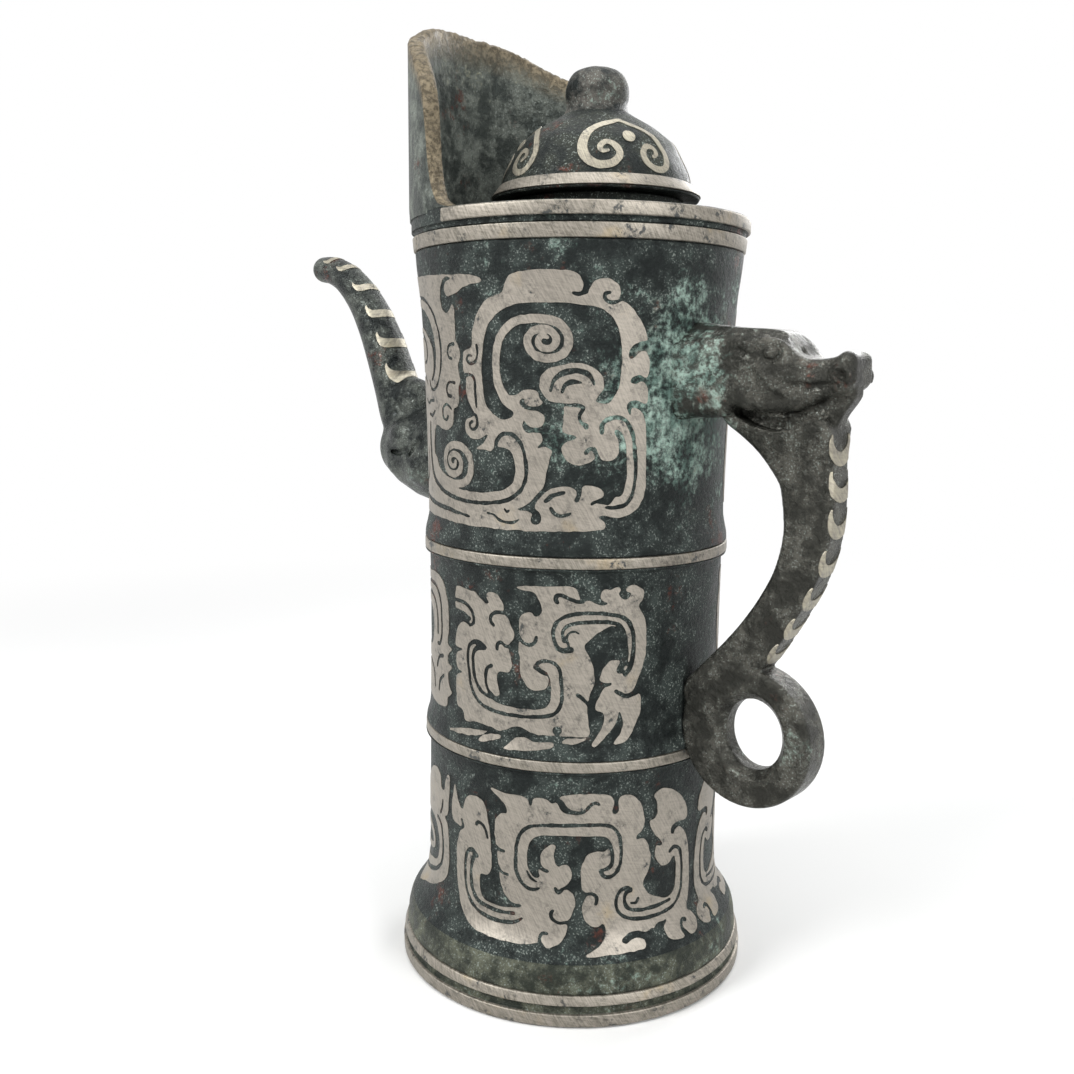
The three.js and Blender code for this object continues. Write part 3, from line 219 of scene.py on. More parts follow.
class Sculpture:
    """A block of distance values that forms are added to, carved from and skinned."""

    def __init__(self, low: Sequence[float], high: Sequence[float], step: float) -> None:
        """Makes an empty block.

        Args:
            low: Lowest corner.
            high: Highest corner.
            step: Distance between neighbouring values.
        """
        self.step = step
        self.low = np.array(low, float)
        counts = np.ceil((np.array(high) - self.low) / step).astype(int) + 1
        self.axes = [np.float32(self.low[k] + step * np.arange(counts[k])) for k in range(3)]
        self.value = np.full(counts, 6.0, np.float32)

    def _window(self, span: Span | None, pad: float) -> tuple[slice, slice, slice]:
        """Part of the block that a form can reach."""
        if span is None:
            return (slice(None), slice(None), slice(None))
        parts = []
        for k in range(3):
            start = int(np.searchsorted(self.axes[k], span[0][k] - pad))
            end = int(np.searchsorted(self.axes[k], span[1][k] + pad))
            parts.append(slice(start, max(end, start)))
        return (parts[0], parts[1], parts[2])

    def _places(self, window: tuple[slice, slice, slice]) -> tuple[Array, Array, Array]:
        """Coordinates of a window, ready to be broadcast."""
        x, y, z = (axis[part] for axis, part in zip(self.axes, window))
        return x[:, None, None], y[None, :, None], z[None, None, :]

    def add(
        self, form: Callable[[Array, Array, Array], Array], span: Span | None = None, blend: float = 0.0
    ) -> None:
        """Joins a form to the block.

        Args:
            form: Takes x, y and z and gives the distance to the form.
            span: Corners that hold the form, or none for the whole block.
            blend: Size of the rounded seam.
        """
        window = self._window(span, blend + 2 * self.step)
        found = form(*self._places(window))
        self.value[window] = soft_min(self.value[window], found, blend)

    def carve(
        self, form: Callable[[Array, Array, Array], Array], span: Span | None = None, blend: float = 0.0
    ) -> None:
        """Cuts a form out of the block, with the arguments of add."""
        window = self._window(span, blend + 2 * self.step)
        found = form(*self._places(window))
        self.value[window] = -soft_min(-self.value[window], found, blend)

    def skin(self) -> tuple[Array, Array]:
        """Wraps the zero level in four-sided faces.

        Returns:
            Corner points, and rows of four corner numbers.
        """
        value = self.value
        inside = value < 0
        cells = inside[:-1, :-1, :-1].astype(np.int8)
        for shift in range(1, 8):
            i, j, k = shift >> 2 & 1, shift >> 1 & 1, shift & 1
            shape = [slice(d, value.shape[n] - 1 + d) for n, d in enumerate((i, j, k))]
            cells = cells + inside[tuple(shape)]
        mixed = (cells > 0) & (cells < 8)
        number = np.full(mixed.shape, -1, np.int64)
        spots = np.argwhere(mixed)
        number[mixed] = np.arange(len(spots))
        total = np.zeros((len(spots), 3))
        hits = np.zeros(len(spots))
        faces = []
        for axis in range(3):
            ahead = [slice(None)] * 3
            behind = [slice(None)] * 3
            ahead[axis] = slice(1, None)
            behind[axis] = slice(None, -1)
            start, end = value[tuple(behind)], value[tuple(ahead)]
            crossing = np.argwhere((start < 0) != (end < 0))
            v0 = start[tuple(crossing.T)]
            share = v0 / (v0 - end[tuple(crossing.T)])
            point = crossing.astype(float)
            point[:, axis] += share
            b, c = (axis + 1) % 3, (axis + 2) % 3
            ring = []
            for db, dc in ((0, 0), (-1, 0), (-1, -1), (0, -1)):
                cell = crossing.copy()
                cell[:, b] += db
                cell[:, c] += dc
                ring.append(cell)
            whole = np.ones(len(crossing), bool)
            for cell in ring:
                whole &= ((cell >= 0) & (cell < np.array(mixed.shape))).all(axis=1)
            corners = []
            for cell in ring:
                ids = number[tuple(cell[whole].T)]
                np.add.at(total, ids, point[whole])
                np.add.at(hits, ids, 1)
                corners.append(ids)
            quad = np.stack(corners, axis=1)
            flip = v0[whole] >= 0
            quad[flip] = quad[flip][:, ::-1]
            faces.append(quad)
        points = self.low + self.step * total / hits[:, None]
        return points, np.vstack(faces)


def ball(centre: Sequence[float], radii: Sequence[float]) -> tuple[Callable[..., Array], Span]:
    """Gives the field of an ellipsoid and the corners that hold it."""
    least = min(radii)

    def form(x: Array, y: Array, z: Array) -> Array:
        """Distance to the ellipsoid."""
        scaled = [(at - mid) / radius for at, mid, radius in zip((x, y, z), centre, radii)]
        return (np.sqrt(scaled[0] ** 2 + scaled[1] ** 2 + scaled[2] ** 2) - 1) * least

    low = tuple(mid - radius for mid, radius in zip(centre, radii))
    high = tuple(mid + radius for mid, radius in zip(centre, radii))
    return form, (low, high)


def rope(points: Path) -> tuple[Callable[..., Array], Span]:
    """Gives the field of a round rope of (x, y, z, radius) points and the corners that hold it."""
    path = np.asarray(points, float)

    def form(x: Array, y: Array, z: Array) -> Array:
        """Distance to the rope."""
        best = np.float32(1e3)
        for start, end in zip(path[:-1], path[1:]):
            run = end - start
            length = max(float((run[:3] ** 2).sum()), 1e-9)
            along = (x - start[0]) * run[0] + (y - start[1]) * run[1] + (z - start[2]) * run[2]
            share = np.clip(along / length, 0, 1)
            gap = np.sqrt(
                (x - start[0] - share * run[0]) ** 2
                + (y - start[1] - share * run[1]) ** 2
                + (z - start[2] - share * run[2]) ** 2
            )
            best = np.minimum(best, gap - start[3] - share * run[3])
        return best

    reach = path[:, 3].max()
    return form, (tuple(path[:, :3].min(axis=0) - reach), tuple(path[:, :3].max(axis=0) + reach))


# Meshes


class Workshop:
    """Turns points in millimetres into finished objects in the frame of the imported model."""

    def __init__(self, axis_x: float) -> None:
        """Keeps the place of the vessel's axis.

        Args:
            axis_x: X of the vessel's axis in metres.
        """
        self.axis_x = axis_x

    def mesh(self, name: str, points: Array, faces: Sequence[Sequence[int]]) -> Object:
        """Makes an object from points and faces.

        Args:
            name: Name of the piece.
            points: Corner points in millimetres from the vessel's axis.
            faces: Corner numbers of each face.

        Returns:
            The object, at the origin.
        """
        placed = np.asarray(points, float) * MM + np.array([self.axis_x, 0, 0])
        data = bpy.data.meshes.new(name)
        data.from_pydata(placed.tolist(), [], [list(map(int, face)) for face in faces])
        return self.settle(name, data)

    @staticmethod
    def line(name: str, points: Sequence[Sequence[float]], closed: bool = False) -> Object:
        """Makes a curve object of straight runs for a tree to read.

        Args:
            name: Name of the curve.
            points: Points in metres.
            closed: Whether the last point joins the first.

        Returns:
            The linked curve object.
        """
        curve = bpy.data.curves.new(name, "CURVE")
        curve.dimensions = "3D"
        run = curve.splines.new("POLY")
        run.points.add(len(points) - 1)
        for point, place in zip(run.points, points):
            point.co = (*place, 1)
        run.use_cyclic_u = closed
        carrier = bpy.data.objects.new(name, curve)
        bpy.context.scene.collection.objects.link(carrier)
        return carrier

    @staticmethod
    def sheet(name: str, points: Array, faces: list) -> Object:
        """Makes a mesh object of points in millimetres, still round the origin, for a tree to copy."""
        data = bpy.data.meshes.new(name)
        data.from_pydata((points * MM).tolist(), [], faces)
        carrier = bpy.data.objects.new(name, data)
        bpy.context.scene.collection.objects.link(carrier)
        return carrier

    def settle(self, name: str, data: bpy.types.Mesh, crease: float = 38.0) -> Object:
        """Closes a mesh, turns its faces out and links it as an object.

        Args:
            name: Name of the piece.
            data: Mesh in metres.
            crease: Angle in degrees above which an edge stays sharp.

        Returns:
            The linked object.
        """
        work = bmesh.new()
        work.from_mesh(data)
        bmesh.ops.remove_doubles(work, verts=work.verts, dist=1e-7)
        loners = [corner for corner in work.verts if not corner.link_faces]
        bmesh.ops.delete(work, geom=loners, context="VERTS")
        bmesh.ops.recalc_face_normals(work, faces=work.faces)
        if work.calc_volume(signed=True) < 0:
            bmesh.ops.reverse_faces(work, faces=work.faces)
        loose = sum(1 for edge in work.edges if len(edge.link_faces) != 2)
        work.to_mesh(data)
        work.free()
        data.shade_smooth()
        data.set_sharp_from_angle(angle=math.radians(crease))
        piece = bpy.data.objects.new(name, data)
        bpy.context.scene.collection.objects.link(piece)
        LOG.info("%s: %d faces, %d open edges", name, len(data.polygons), loose)
        return piece

    def dress(
        self,
        piece: Object,
        material: Material,
        slot: Slot,
        body: str,
        nodes: Sequence[str],
    ) -> None:
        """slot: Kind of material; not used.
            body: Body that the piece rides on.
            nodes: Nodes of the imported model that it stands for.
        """
        piece.data.materials.clear()
        piece.data.materials.append(material)
        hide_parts(*nodes)
        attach(piece, body)


class NodeSheet:
    """A node tree that nodes are added to."""

    group: bpy.types.NodeTree

    def node(
        self, kind: str, inputs: dict[str | int, object] | None = None, **settings: object
    ) -> bpy.types.Node:
        """Adds a node and fills its inputs.

        Args:
            kind: Type of the node.
            inputs: Values or output sockets by input name or number.
            settings: Properties of the node.

        Returns:
            The node.
        """
        made = self.group.nodes.new(kind)
        for key, value in settings.items():
            setattr(made, key, value)
        for key, value in (inputs or {}).items():
            if isinstance(value, Socket):
                self.group.links.new(value, made.inputs[key])
            else:
                made.inputs[key].default_value = value
        return made


class Tree(NodeSheet):
    """Builds one Geometry Nodes tree with named inputs."""

    def __init__(self, name: str) -> None:
        """Starts a tree with a geometry input and output."""
        self.group = bpy.data.node_groups.new(name, "GeometryNodeTree")
        self.group.interface.new_socket("Geometry", in_out="INPUT", socket_type="NodeSocketGeometry")
        self.group.interface.new_socket("Geometry", in_out="OUTPUT", socket_type="NodeSocketGeometry")
        self.entry = self.group.nodes.new("NodeGroupInput")
        self.exit = self.group.nodes.new("NodeGroupOutput")
        self.sockets: dict[str, str] = {}

    def input(self, name: str, kind: str) -> None:
        """Adds a named input of a socket kind such as Float, Int, Object or Material."""
        socket = self.group.interface.new_socket(
            name, in_out="INPUT", socket_type=f"NodeSocket{kind}"
        )
        self.sockets[name] = socket.identifier

    def given(self, name: str) -> Socket:
        """Output socket of a named input."""
        return self.entry.outputs[name]

    def finish(self, geometry: Socket, material: Socket) -> None:
        """Ends the tree with real geometry that wears a material."""
        real = self.node("GeometryNodeRealizeInstances", {"Geometry": geometry})
        worn = self.node(
            "GeometryNodeSetMaterial", {"Geometry": real.outputs[0], "Material": material}
        )
        self.group.links.new(worn.outputs[0], self.exit.inputs[0])

    def bake(self, carrier: Object, values: dict[str, object]) -> bpy.types.Mesh:
        """Runs the tree on an object and keeps the result as a plain mesh.

        Args:
            carrier: Object whose geometry enters the tree; it and its data are removed afterwards.
            values: Value of each named input.

        Returns:
            The baked mesh.
        """
        data, name = carrier.data, carrier.name
        modifier = carrier.modifiers.new(self.group.name, "NODES")
        modifier.node_group = self.group
        for key, value in values.items():
            modifier[self.sockets[key]] = value
        graph = bpy.context.evaluated_depsgraph_get()
        baked = bpy.data.meshes.new_from_object(carrier.evaluated_get(graph))
        carrier.modifiers.remove(modifier)
        bpy.data.objects.remove(carrier)
        store = bpy.data.curves if isinstance(data, bpy.types.Curve) else bpy.data.meshes
        store.remove(data)
        baked.name = name
        return baked


class Lathe:
    """Turned pieces: a profile swept round an upright axis by Geometry Nodes."""

    path_radius = 10.0

    def __init__(self, shop: Workshop) -> None:
        """Builds the tree once for all turned pieces."""
        self.shop = shop
        tree = Tree("Turned piece")
        for name, kind in (
            ("Segments", "Int"), ("Path radius", "Float"), ("Wear", "Float"), ("Wear scale", "Float"),
            ("Seed", "Float"), ("Material", "Material"),
        ):
            tree.input(name, kind)
        circle = tree.node(
            "GeometryNodeCurvePrimitiveCircle",
            {"Resolution": tree.given("Segments"), "Radius": tree.given("Path radius")},
        )
        upright = tree.node("GeometryNodeSetCurveNormal", {"Curve": circle.outputs[0]}, mode="Z_UP")
        swept = tree.node(
            "GeometryNodeCurveToMesh",
            {"Curve": upright.outputs[0], "Profile Curve": tree.given("Geometry")},
        )
        closed = tree.node("GeometryNodeMergeByDistance", {"Geometry": swept.outputs[0], "Distance": 1e-6})
        noise = tree.node(
            "ShaderNodeTexNoise",
            {"W": tree.given("Seed"), "Scale": tree.given("Wear scale"), "Detail": 2.0},
            noise_dimensions="4D",
        )
        level = tree.node("ShaderNodeMath", {0: noise.outputs[0], 1: 0.5}, operation="SUBTRACT")
        depth = tree.node(
            "ShaderNodeMath", {0: level.outputs[0], 1: tree.given("Wear")}, operation="MULTIPLY"
        )
        normal = tree.node("GeometryNodeInputNormal")
        offset = tree.node(
            "ShaderNodeVectorMath", {0: normal.outputs[0], "Scale": depth.outputs[0]}, operation="SCALE"
        )
        worn = tree.node(
            "GeometryNodeSetPosition", {"Geometry": closed.outputs[0], "Offset": offset.outputs[0]}
        )
        tree.finish(worn.outputs[0], tree.given("Material"))
        self.tree = tree

    def turn(
        self,
        name: str,
        profile: Array,
        material: Material,
        centre: float = 0.0,
        segments: int = 256,
        wear: float = 0.0,
        wear_scale: float = 90.0,
        seed: float = 1.0,
    ) -> Object:
        """Turns a closed profile.

        Args:
            name: Name of the piece.
            profile: Rows of (radius, height) in millimetres.
            material: Material that the tree sets.
            centre: Distance of the piece's axis from the vessel's axis along X.
            segments: Flats round the piece.
            wear: Height of the surface's unevenness.
            wear_scale: Fineness of the unevenness.
            seed: Seed of the unevenness.

        Returns:
            The finished object.
        """
        points = [((radius - self.path_radius) * MM, -height * MM, 0) for radius, height in profile]
        baked = self.tree.bake(self.shop.line(name, points, closed=True), {
            "Segments": segments, "Path radius": self.path_radius * MM, "Wear": wear * MM,
            "Wear scale": wear_scale, "Seed": seed, "Material": material,
        })
        baked.transform(Matrix.Translation((self.shop.axis_x + centre * MM, 0, 0)))
        return self.shop.settle(name, baked)


# Silver plates drawn flat and laid on a surface


class Drawing:
    """A flat drawing of silver held as distances on a grid."""

    def __init__(self, low: tuple[float, float], high: tuple[float, float], pitch: float = 0.2) -> None:
        """Makes an empty drawing.

        Args:
            low: Lowest corner of the drawing.
            high: Highest corner.
            pitch: Distance between neighbouring values.
        """
        self.low = low
        self.pitch = pitch
        across = low[0] + pitch * np.arange(math.ceil((high[0] - low[0]) / pitch) + 1)
        along = low[1] + pitch * np.arange(math.ceil((high[1] - low[1]) / pitch) + 1)
        self.x, self.y = np.meshgrid(np.float32(across), np.float32(along), indexing="ij")
        self.value = np.full(self.x.shape, 4.0, np.float32)

    def _window(self, path: Array, pad: float) -> tuple[slice, slice]:
        """Part of the grid round a path."""
        spans = []
        for k, axis in enumerate((self.x[:, 0], self.y[0])):
            start = int(np.searchsorted(axis, path[:, k].min() - pad))
            spans.append(slice(start, int(np.searchsorted(axis, path[:, k].max() + pad))))
        return (spans[0], spans[1])

    def _merge(self, window: tuple[slice, slice], found: Array, silver: bool) -> None:
        """Lays silver or bronze over the drawing."""
        old = self.value[window]
        self.value[window] = np.minimum(old, found) if silver else np.maximum(old, -found)

    def area(self, outline: Path, silver: bool = True, soften: bool = True) -> Drawing:
        """Fills or cuts an outline, smoothed unless told otherwise."""
        edge = smooth(outline, 0.9, closed=True) if soften else np.asarray(outline, float)
        window = self._window(edge, 4.0)
        self._merge(window, polygon_field(self.x[window], self.y[window], edge), silver)
        return self

    def stroke(self, path: Path, width: float | None = None, silver: bool = True) -> Drawing:
        """Draws or cuts a stroke.

        Args:
            path: Points, with a width of their own as the third value or without.
            width: Width at the points that have none of their own.
            silver: Whether the stroke is silver or bronze.

        Returns:
            The drawing itself.
        """
        rows = np.array([(*point, width)[:3] for point in path], float)
        if len(rows) > 2:
            rows = smooth(rows, 0.9)
        window = self._window(rows, 4.0 + rows[:, 2].max())
        self._merge(window, segment_field(self.x[window], self.y[window], rows), silver)
        return self

    def cut(self, path: Path, width: float | None = None) -> Drawing:
        """Cuts a stroke down to the bronze."""
        return self.stroke(path, width, silver=False)

    def disc(self, centre: tuple[float, float], radii: tuple[float, float], silver: bool = True) -> Drawing:
        """Fills or cuts an ellipse."""
        turn = np.linspace(0, 2 * math.pi, 24, endpoint=False)
        rows = np.column_stack(
            [centre[0] + radii[0] * np.cos(turn), centre[1] + radii[1] * np.sin(turn)]
        )
        return self.area([tuple(row) for row in rows], silver, soften=False)

    def nick(self, seed: int, depth: float = 0.16, grain: float = 1.3) -> Drawing:
        """Wears the edges unevenly with seeded noise.

        Args:
            seed: Seed of the noise.
            depth: Height of the unevenness.
            grain: Distance between the noise's knots.

        Returns:
            The drawing itself.
        """
        knots = np.random.default_rng(seed).uniform(-1, 1, (200, 200))
        u = (self.x - self.low[0]) / grain
        v = (self.y - self.low[1]) / grain
        i, j = u.astype(int) % 199, v.astype(int) % 199
        fu, fv = u - np.floor(u), v - np.floor(v)
        fu, fv = fu * fu * (3 - 2 * fu), fv * fv * (3 - 2 * fv)
        low = knots[i, j] * (1 - fu) + knots[i + 1, j] * fu
        high = knots[i, j + 1] * (1 - fu) + knots[i + 1, j + 1] * fu
        self.value = self.value + np.float32(depth * (low * (1 - fv) + high * fv))
        return self

    def loops(self) -> list[Array]:
        """Traces the edges of the silver, with the silver on the left.

        Returns:
            Closed loops of points about half a millimetre apart.
        """
        value = self.value.copy()
        value[[0, -1], :] = 1.0
        value[:, [0, -1]] = 1.0
        inner = value[1:-1, 1:-1] * 2
        inner = inner + value[:-2, 1:-1] + value[2:, 1:-1] + value[1:-1, :-2] + value[1:-1, 2:]
        value[1:-1, 1:-1] = inner / 6
        value[value == 0] = 1e-4
        inside = value < 0
        total = inside[:-1, :-1] * 1 + inside[1:, :-1] + inside[1:, 1:] + inside[:-1, 1:]
        following: dict[tuple[int, int, int], tuple[int, int, int]] = {}
        for i, j in np.argwhere((total > 0) & (total < 4)).tolist():
            state = (inside[i, j], inside[i + 1, j], inside[i + 1, j + 1], inside[i, j + 1])
            sides = ((i, j, 0), (i + 1, j, 1), (i, j + 1, 0), (i, j, 1))
            leaves = [k for k in range(4) if state[k] and not state[(k + 1) % 4]]
            enters = [k for k in range(4) if not state[k] and state[(k + 1) % 4]]
            for leave in leaves:
                enter = max(enters, key=lambda k: (k - leave) % 4)
                following[sides[leave]] = sides[enter]
        found = []
        while following:
            start, at = following.popitem()
            chain = [start]
            while at != start:
                chain.append(at)
                at = following.pop(at)
            points = np.array([self._crossing(value, edge) for edge in chain])
            if len(points) < 12:
                continue
            for _ in range(2):
                points = (np.roll(points, 1, axis=0) + 2 * points + np.roll(points, -1, axis=0)) / 4
            found.append(self._even(points, 0.5))
        return found

    def _crossing(self, value: Array, edge: tuple[int, int, int]) -> tuple[float, float]:
        """Point where the zero level crosses one grid edge."""
        i, j, way = edge
        there = value[i, j + 1] if way else value[i + 1, j]
        share = float(value[i, j] / (value[i, j] - there))
        across = self.low[0] + self.pitch * (i + (0 if way else share))
        return across, self.low[1] + self.pitch * (j + (share if way else 0))

    @staticmethod
    def _even(points: Array, step: float) -> Array:
        """Spaces a closed loop's points evenly."""
        closed = np.vstack([points, points[:1]])
        runs = np.concatenate([[0], np.cumsum(np.hypot(*np.diff(closed, axis=0).T))])
        marks = np.linspace(0, runs[-1], max(8, round(runs[-1] / step)), endpoint=False)
        return np.column_stack([np.interp(marks, runs, closed[:, k]) for k in range(2)])


@dataclass(frozen=True)
class Plate:
    """Section of a silver plate that lies in a surface."""

    proud: float = 0.16
    sunk: float = 0.35
    spacing: tuple[float, float] = (1.7, 2.4)

    def lay(self, drawing: Drawing, place: Callable[[Array, Array, Array], Array]) -> tuple[Array, list]:
        """Cuts the drawing out as one closed sheet and bends it on a surface.

        Args:
            drawing: Drawing of the silver.
            place: Takes across, along and height and gives points in millimetres.

        Returns:
            Corner points and faces.
        """
        loops = drawing.loops()
        edge = np.vstack(loops)
        following = []
        for loop in loops:
            start = len(following)
            following.extend(start + (k + 1) % len(loop) for k in range(len(loop)))
        spots = []
        for k in range(2):
            spots.append(np.arange(edge[:, k].min() + 0.4, edge[:, k].max(), self.spacing[k]))
        grid = np.stack(np.meshgrid(*spots, indexing="ij"), axis=-1).reshape(-1, 2)
        cell = ((grid - drawing.low) / drawing.pitch).round().astype(int)
        grid = grid[drawing.value[cell[:, 0], cell[:, 1]] < -0.35]
        flat = [Vector(point) for point in np.vstack([edge, grid]).tolist()]
        points, _, triangles, *_ = delaunay_2d_cdt(flat, list(enumerate(following)), [], 0, 1e-5)
        corners = np.array([tuple(point) for point in points])
        faces = np.array(triangles)
        faces = faces[self._inside(corners[faces].mean(axis=1), edge, edge[following])]
        count = len(corners)
        sides = {(face[k], face[(k + 1) % 3]) for face in faces.tolist() for k in range(3)}
        sheet = faces.tolist() + (faces[:, ::-1] + count).tolist()
        sheet += [[b, a, a + count, b + count] for a, b in sorted(sides) if (b, a) not in sides]
        height = np.repeat([self.proud, -self.sunk], count)
        return place(np.tile(corners[:, 0], 2), np.tile(corners[:, 1], 2), height), sheet

    @staticmethod
    def _inside(spots: Array, starts: Array, ends: Array) -> Array:
        """Which spots lie within the loops, by counting crossings."""
        result = np.zeros(len(spots), bool)
        rise = np.where(ends[:, 1] == starts[:, 1], 1e-9, ends[:, 1] - starts[:, 1])
        for part in np.array_split(np.arange(len(spots)), max(1, len(spots) // 2000)):
            x, y = spots[part, 0][:, None], spots[part, 1][:, None]
            crosses = (starts[:, 1] > y) != (ends[:, 1] > y)
            at = starts[:, 0] + (y - starts[:, 1]) * (ends[:, 0] - starts[:, 0]) / rise
            result[part] = (crosses & (x < at)).sum(axis=1) % 2 == 1
        return result


# Finishes


class Shader(NodeSheet):
    """Builds one node material that reads Object coordinates."""

    def __init__(self, name: str, axis_x: float) -> None:
        """Starts a material with a shader and coordinates.

        Args:
            name: Name of the material.
            axis_x: X of the vessel's axis in metres.
        """
        self.material = bpy.data.materials.new(name)
        self.material.use_nodes = True
        self.group = self.material.node_tree
        self.group.nodes.clear()
        self.out = self.node("ShaderNodeOutputMaterial")
        self.skin = self.node("ShaderNodeBsdfPrincipled")
        self.group.links.new(self.skin.outputs[0], self.out.inputs[0])
        coordinates = self.node("ShaderNodeTexCoord")
        centred = self.node("ShaderNodeMapping", {"Vector": coordinates.outputs["Object"]})
        centred.inputs["Location"].default_value = (-axis_x, 0, 0)
        self.place = centred.outputs[0]

    def noise(
        self, scale: float, detail: float = 4.0, rough: float = 0.55, at: Socket | None = None
    ) -> Socket:
        """Noise of a fineness, in the piece's coordinates unless others are given."""
        made = self.node(
            "ShaderNodeTexNoise",
            {"Vector": at or self.place, "Scale": scale, "Detail": detail, "Roughness": rough},
        )
        return made.outputs[0]

    def between(self, value: Socket, low: float, high: float) -> Socket:
        """Brings a value from low..high to 0..1, with soft ends."""
        made = self.node(
            "ShaderNodeMapRange",
            {"Value": value, "From Min": low, "From Max": high},
            interpolation_type="SMOOTHSTEP",
        )
        return made.outputs[0]

    def span(self, value: Socket, low: float, high: float) -> Socket:
        """Brings a value from 0..1 to low..high."""
        made = self.node("ShaderNodeMapRange", {"Value": value, "To Min": low, "To Max": high})
        return made.outputs[0]

    def maths(self, way: str, first: object, second: object) -> Socket:
        """One sum on two values or sockets."""
        made = self.node("ShaderNodeMath", {0: first, 1: second}, operation=way)
        return made.outputs[0]

    def mix(self, share: Socket, first: object, second: object) -> Socket:
        """Mixes two colours by a share."""
        inputs: dict[str | int, object] = {0: share}
        for key, colour in ((6, first), (7, second)):
            inputs[key] = colour if isinstance(colour, Socket) else (*colour, 1.0)
        return self.node("ShaderNodeMix", inputs, data_type="RGBA").outputs[2]

    def near(self, spot: tuple[float, float, float], radius: float) -> Socket:
        """One at a spot in millimetres and nothing past a radius."""
        gap = self.node(
            "ShaderNodeVectorMath",
            {0: self.place, 1: tuple(value * MM for value in spot)},
            operation="DISTANCE",
        )
        made = self.node(
            "ShaderNodeMapRange",
            {"Value": gap.outputs["Value"], "From Min": radius * MM, "From Max": 0.15 * radius * MM},
            interpolation_type="SMOOTHSTEP",
        )
        return made.outputs[0]

    def wrapped(self, turn: float, stretch: float) -> Socket:
        """Coordinates that run round the vessel and up it, turned and stretched for scratches.

        Args:
            turn: Angle of the scratches in degrees.
            stretch: How much longer than wide a scratch is.

        Returns:
            The coordinates.
        """
        parts = self.node("ShaderNodeSeparateXYZ", {0: self.place})
        angle = self.maths("ARCTAN2", parts.outputs[1], parts.outputs[0])
        across = self.maths("MULTIPLY", angle, WALL_RADIUS * MM)
        flat = self.node("ShaderNodeCombineXYZ", {0: across, 1: parts.outputs[2]})
        turned = self.node("ShaderNodeMapping", {"Vector": flat.outputs[0]})
        turned.inputs["Rotation"].default_value = (0, 0, math.radians(turn))
        made = self.node("ShaderNodeMapping", {"Vector": turned.outputs[0]})
        made.inputs["Scale"].default_value = (1.0, stretch, 1.0)
        return made.outputs[0]

    def relief(self, height: Socket, depth: float, under: object = None) -> Socket:
        """Bump of a depth in millimetres over another normal."""
        made = self.node("ShaderNodeBump", {"Height": height, "Distance": depth * MM, "Strength": 1.0})
        if under is not None:
            self.group.links.new(under, made.inputs["Normal"])
        return made.outputs[0]

    def feed(self, name: str, value: object) -> None:
        """Sets or links one input of the shader."""
        if isinstance(value, Socket):
            self.group.links.new(value, self.skin.inputs[name])
        else:
            self.skin.inputs[name].default_value = value


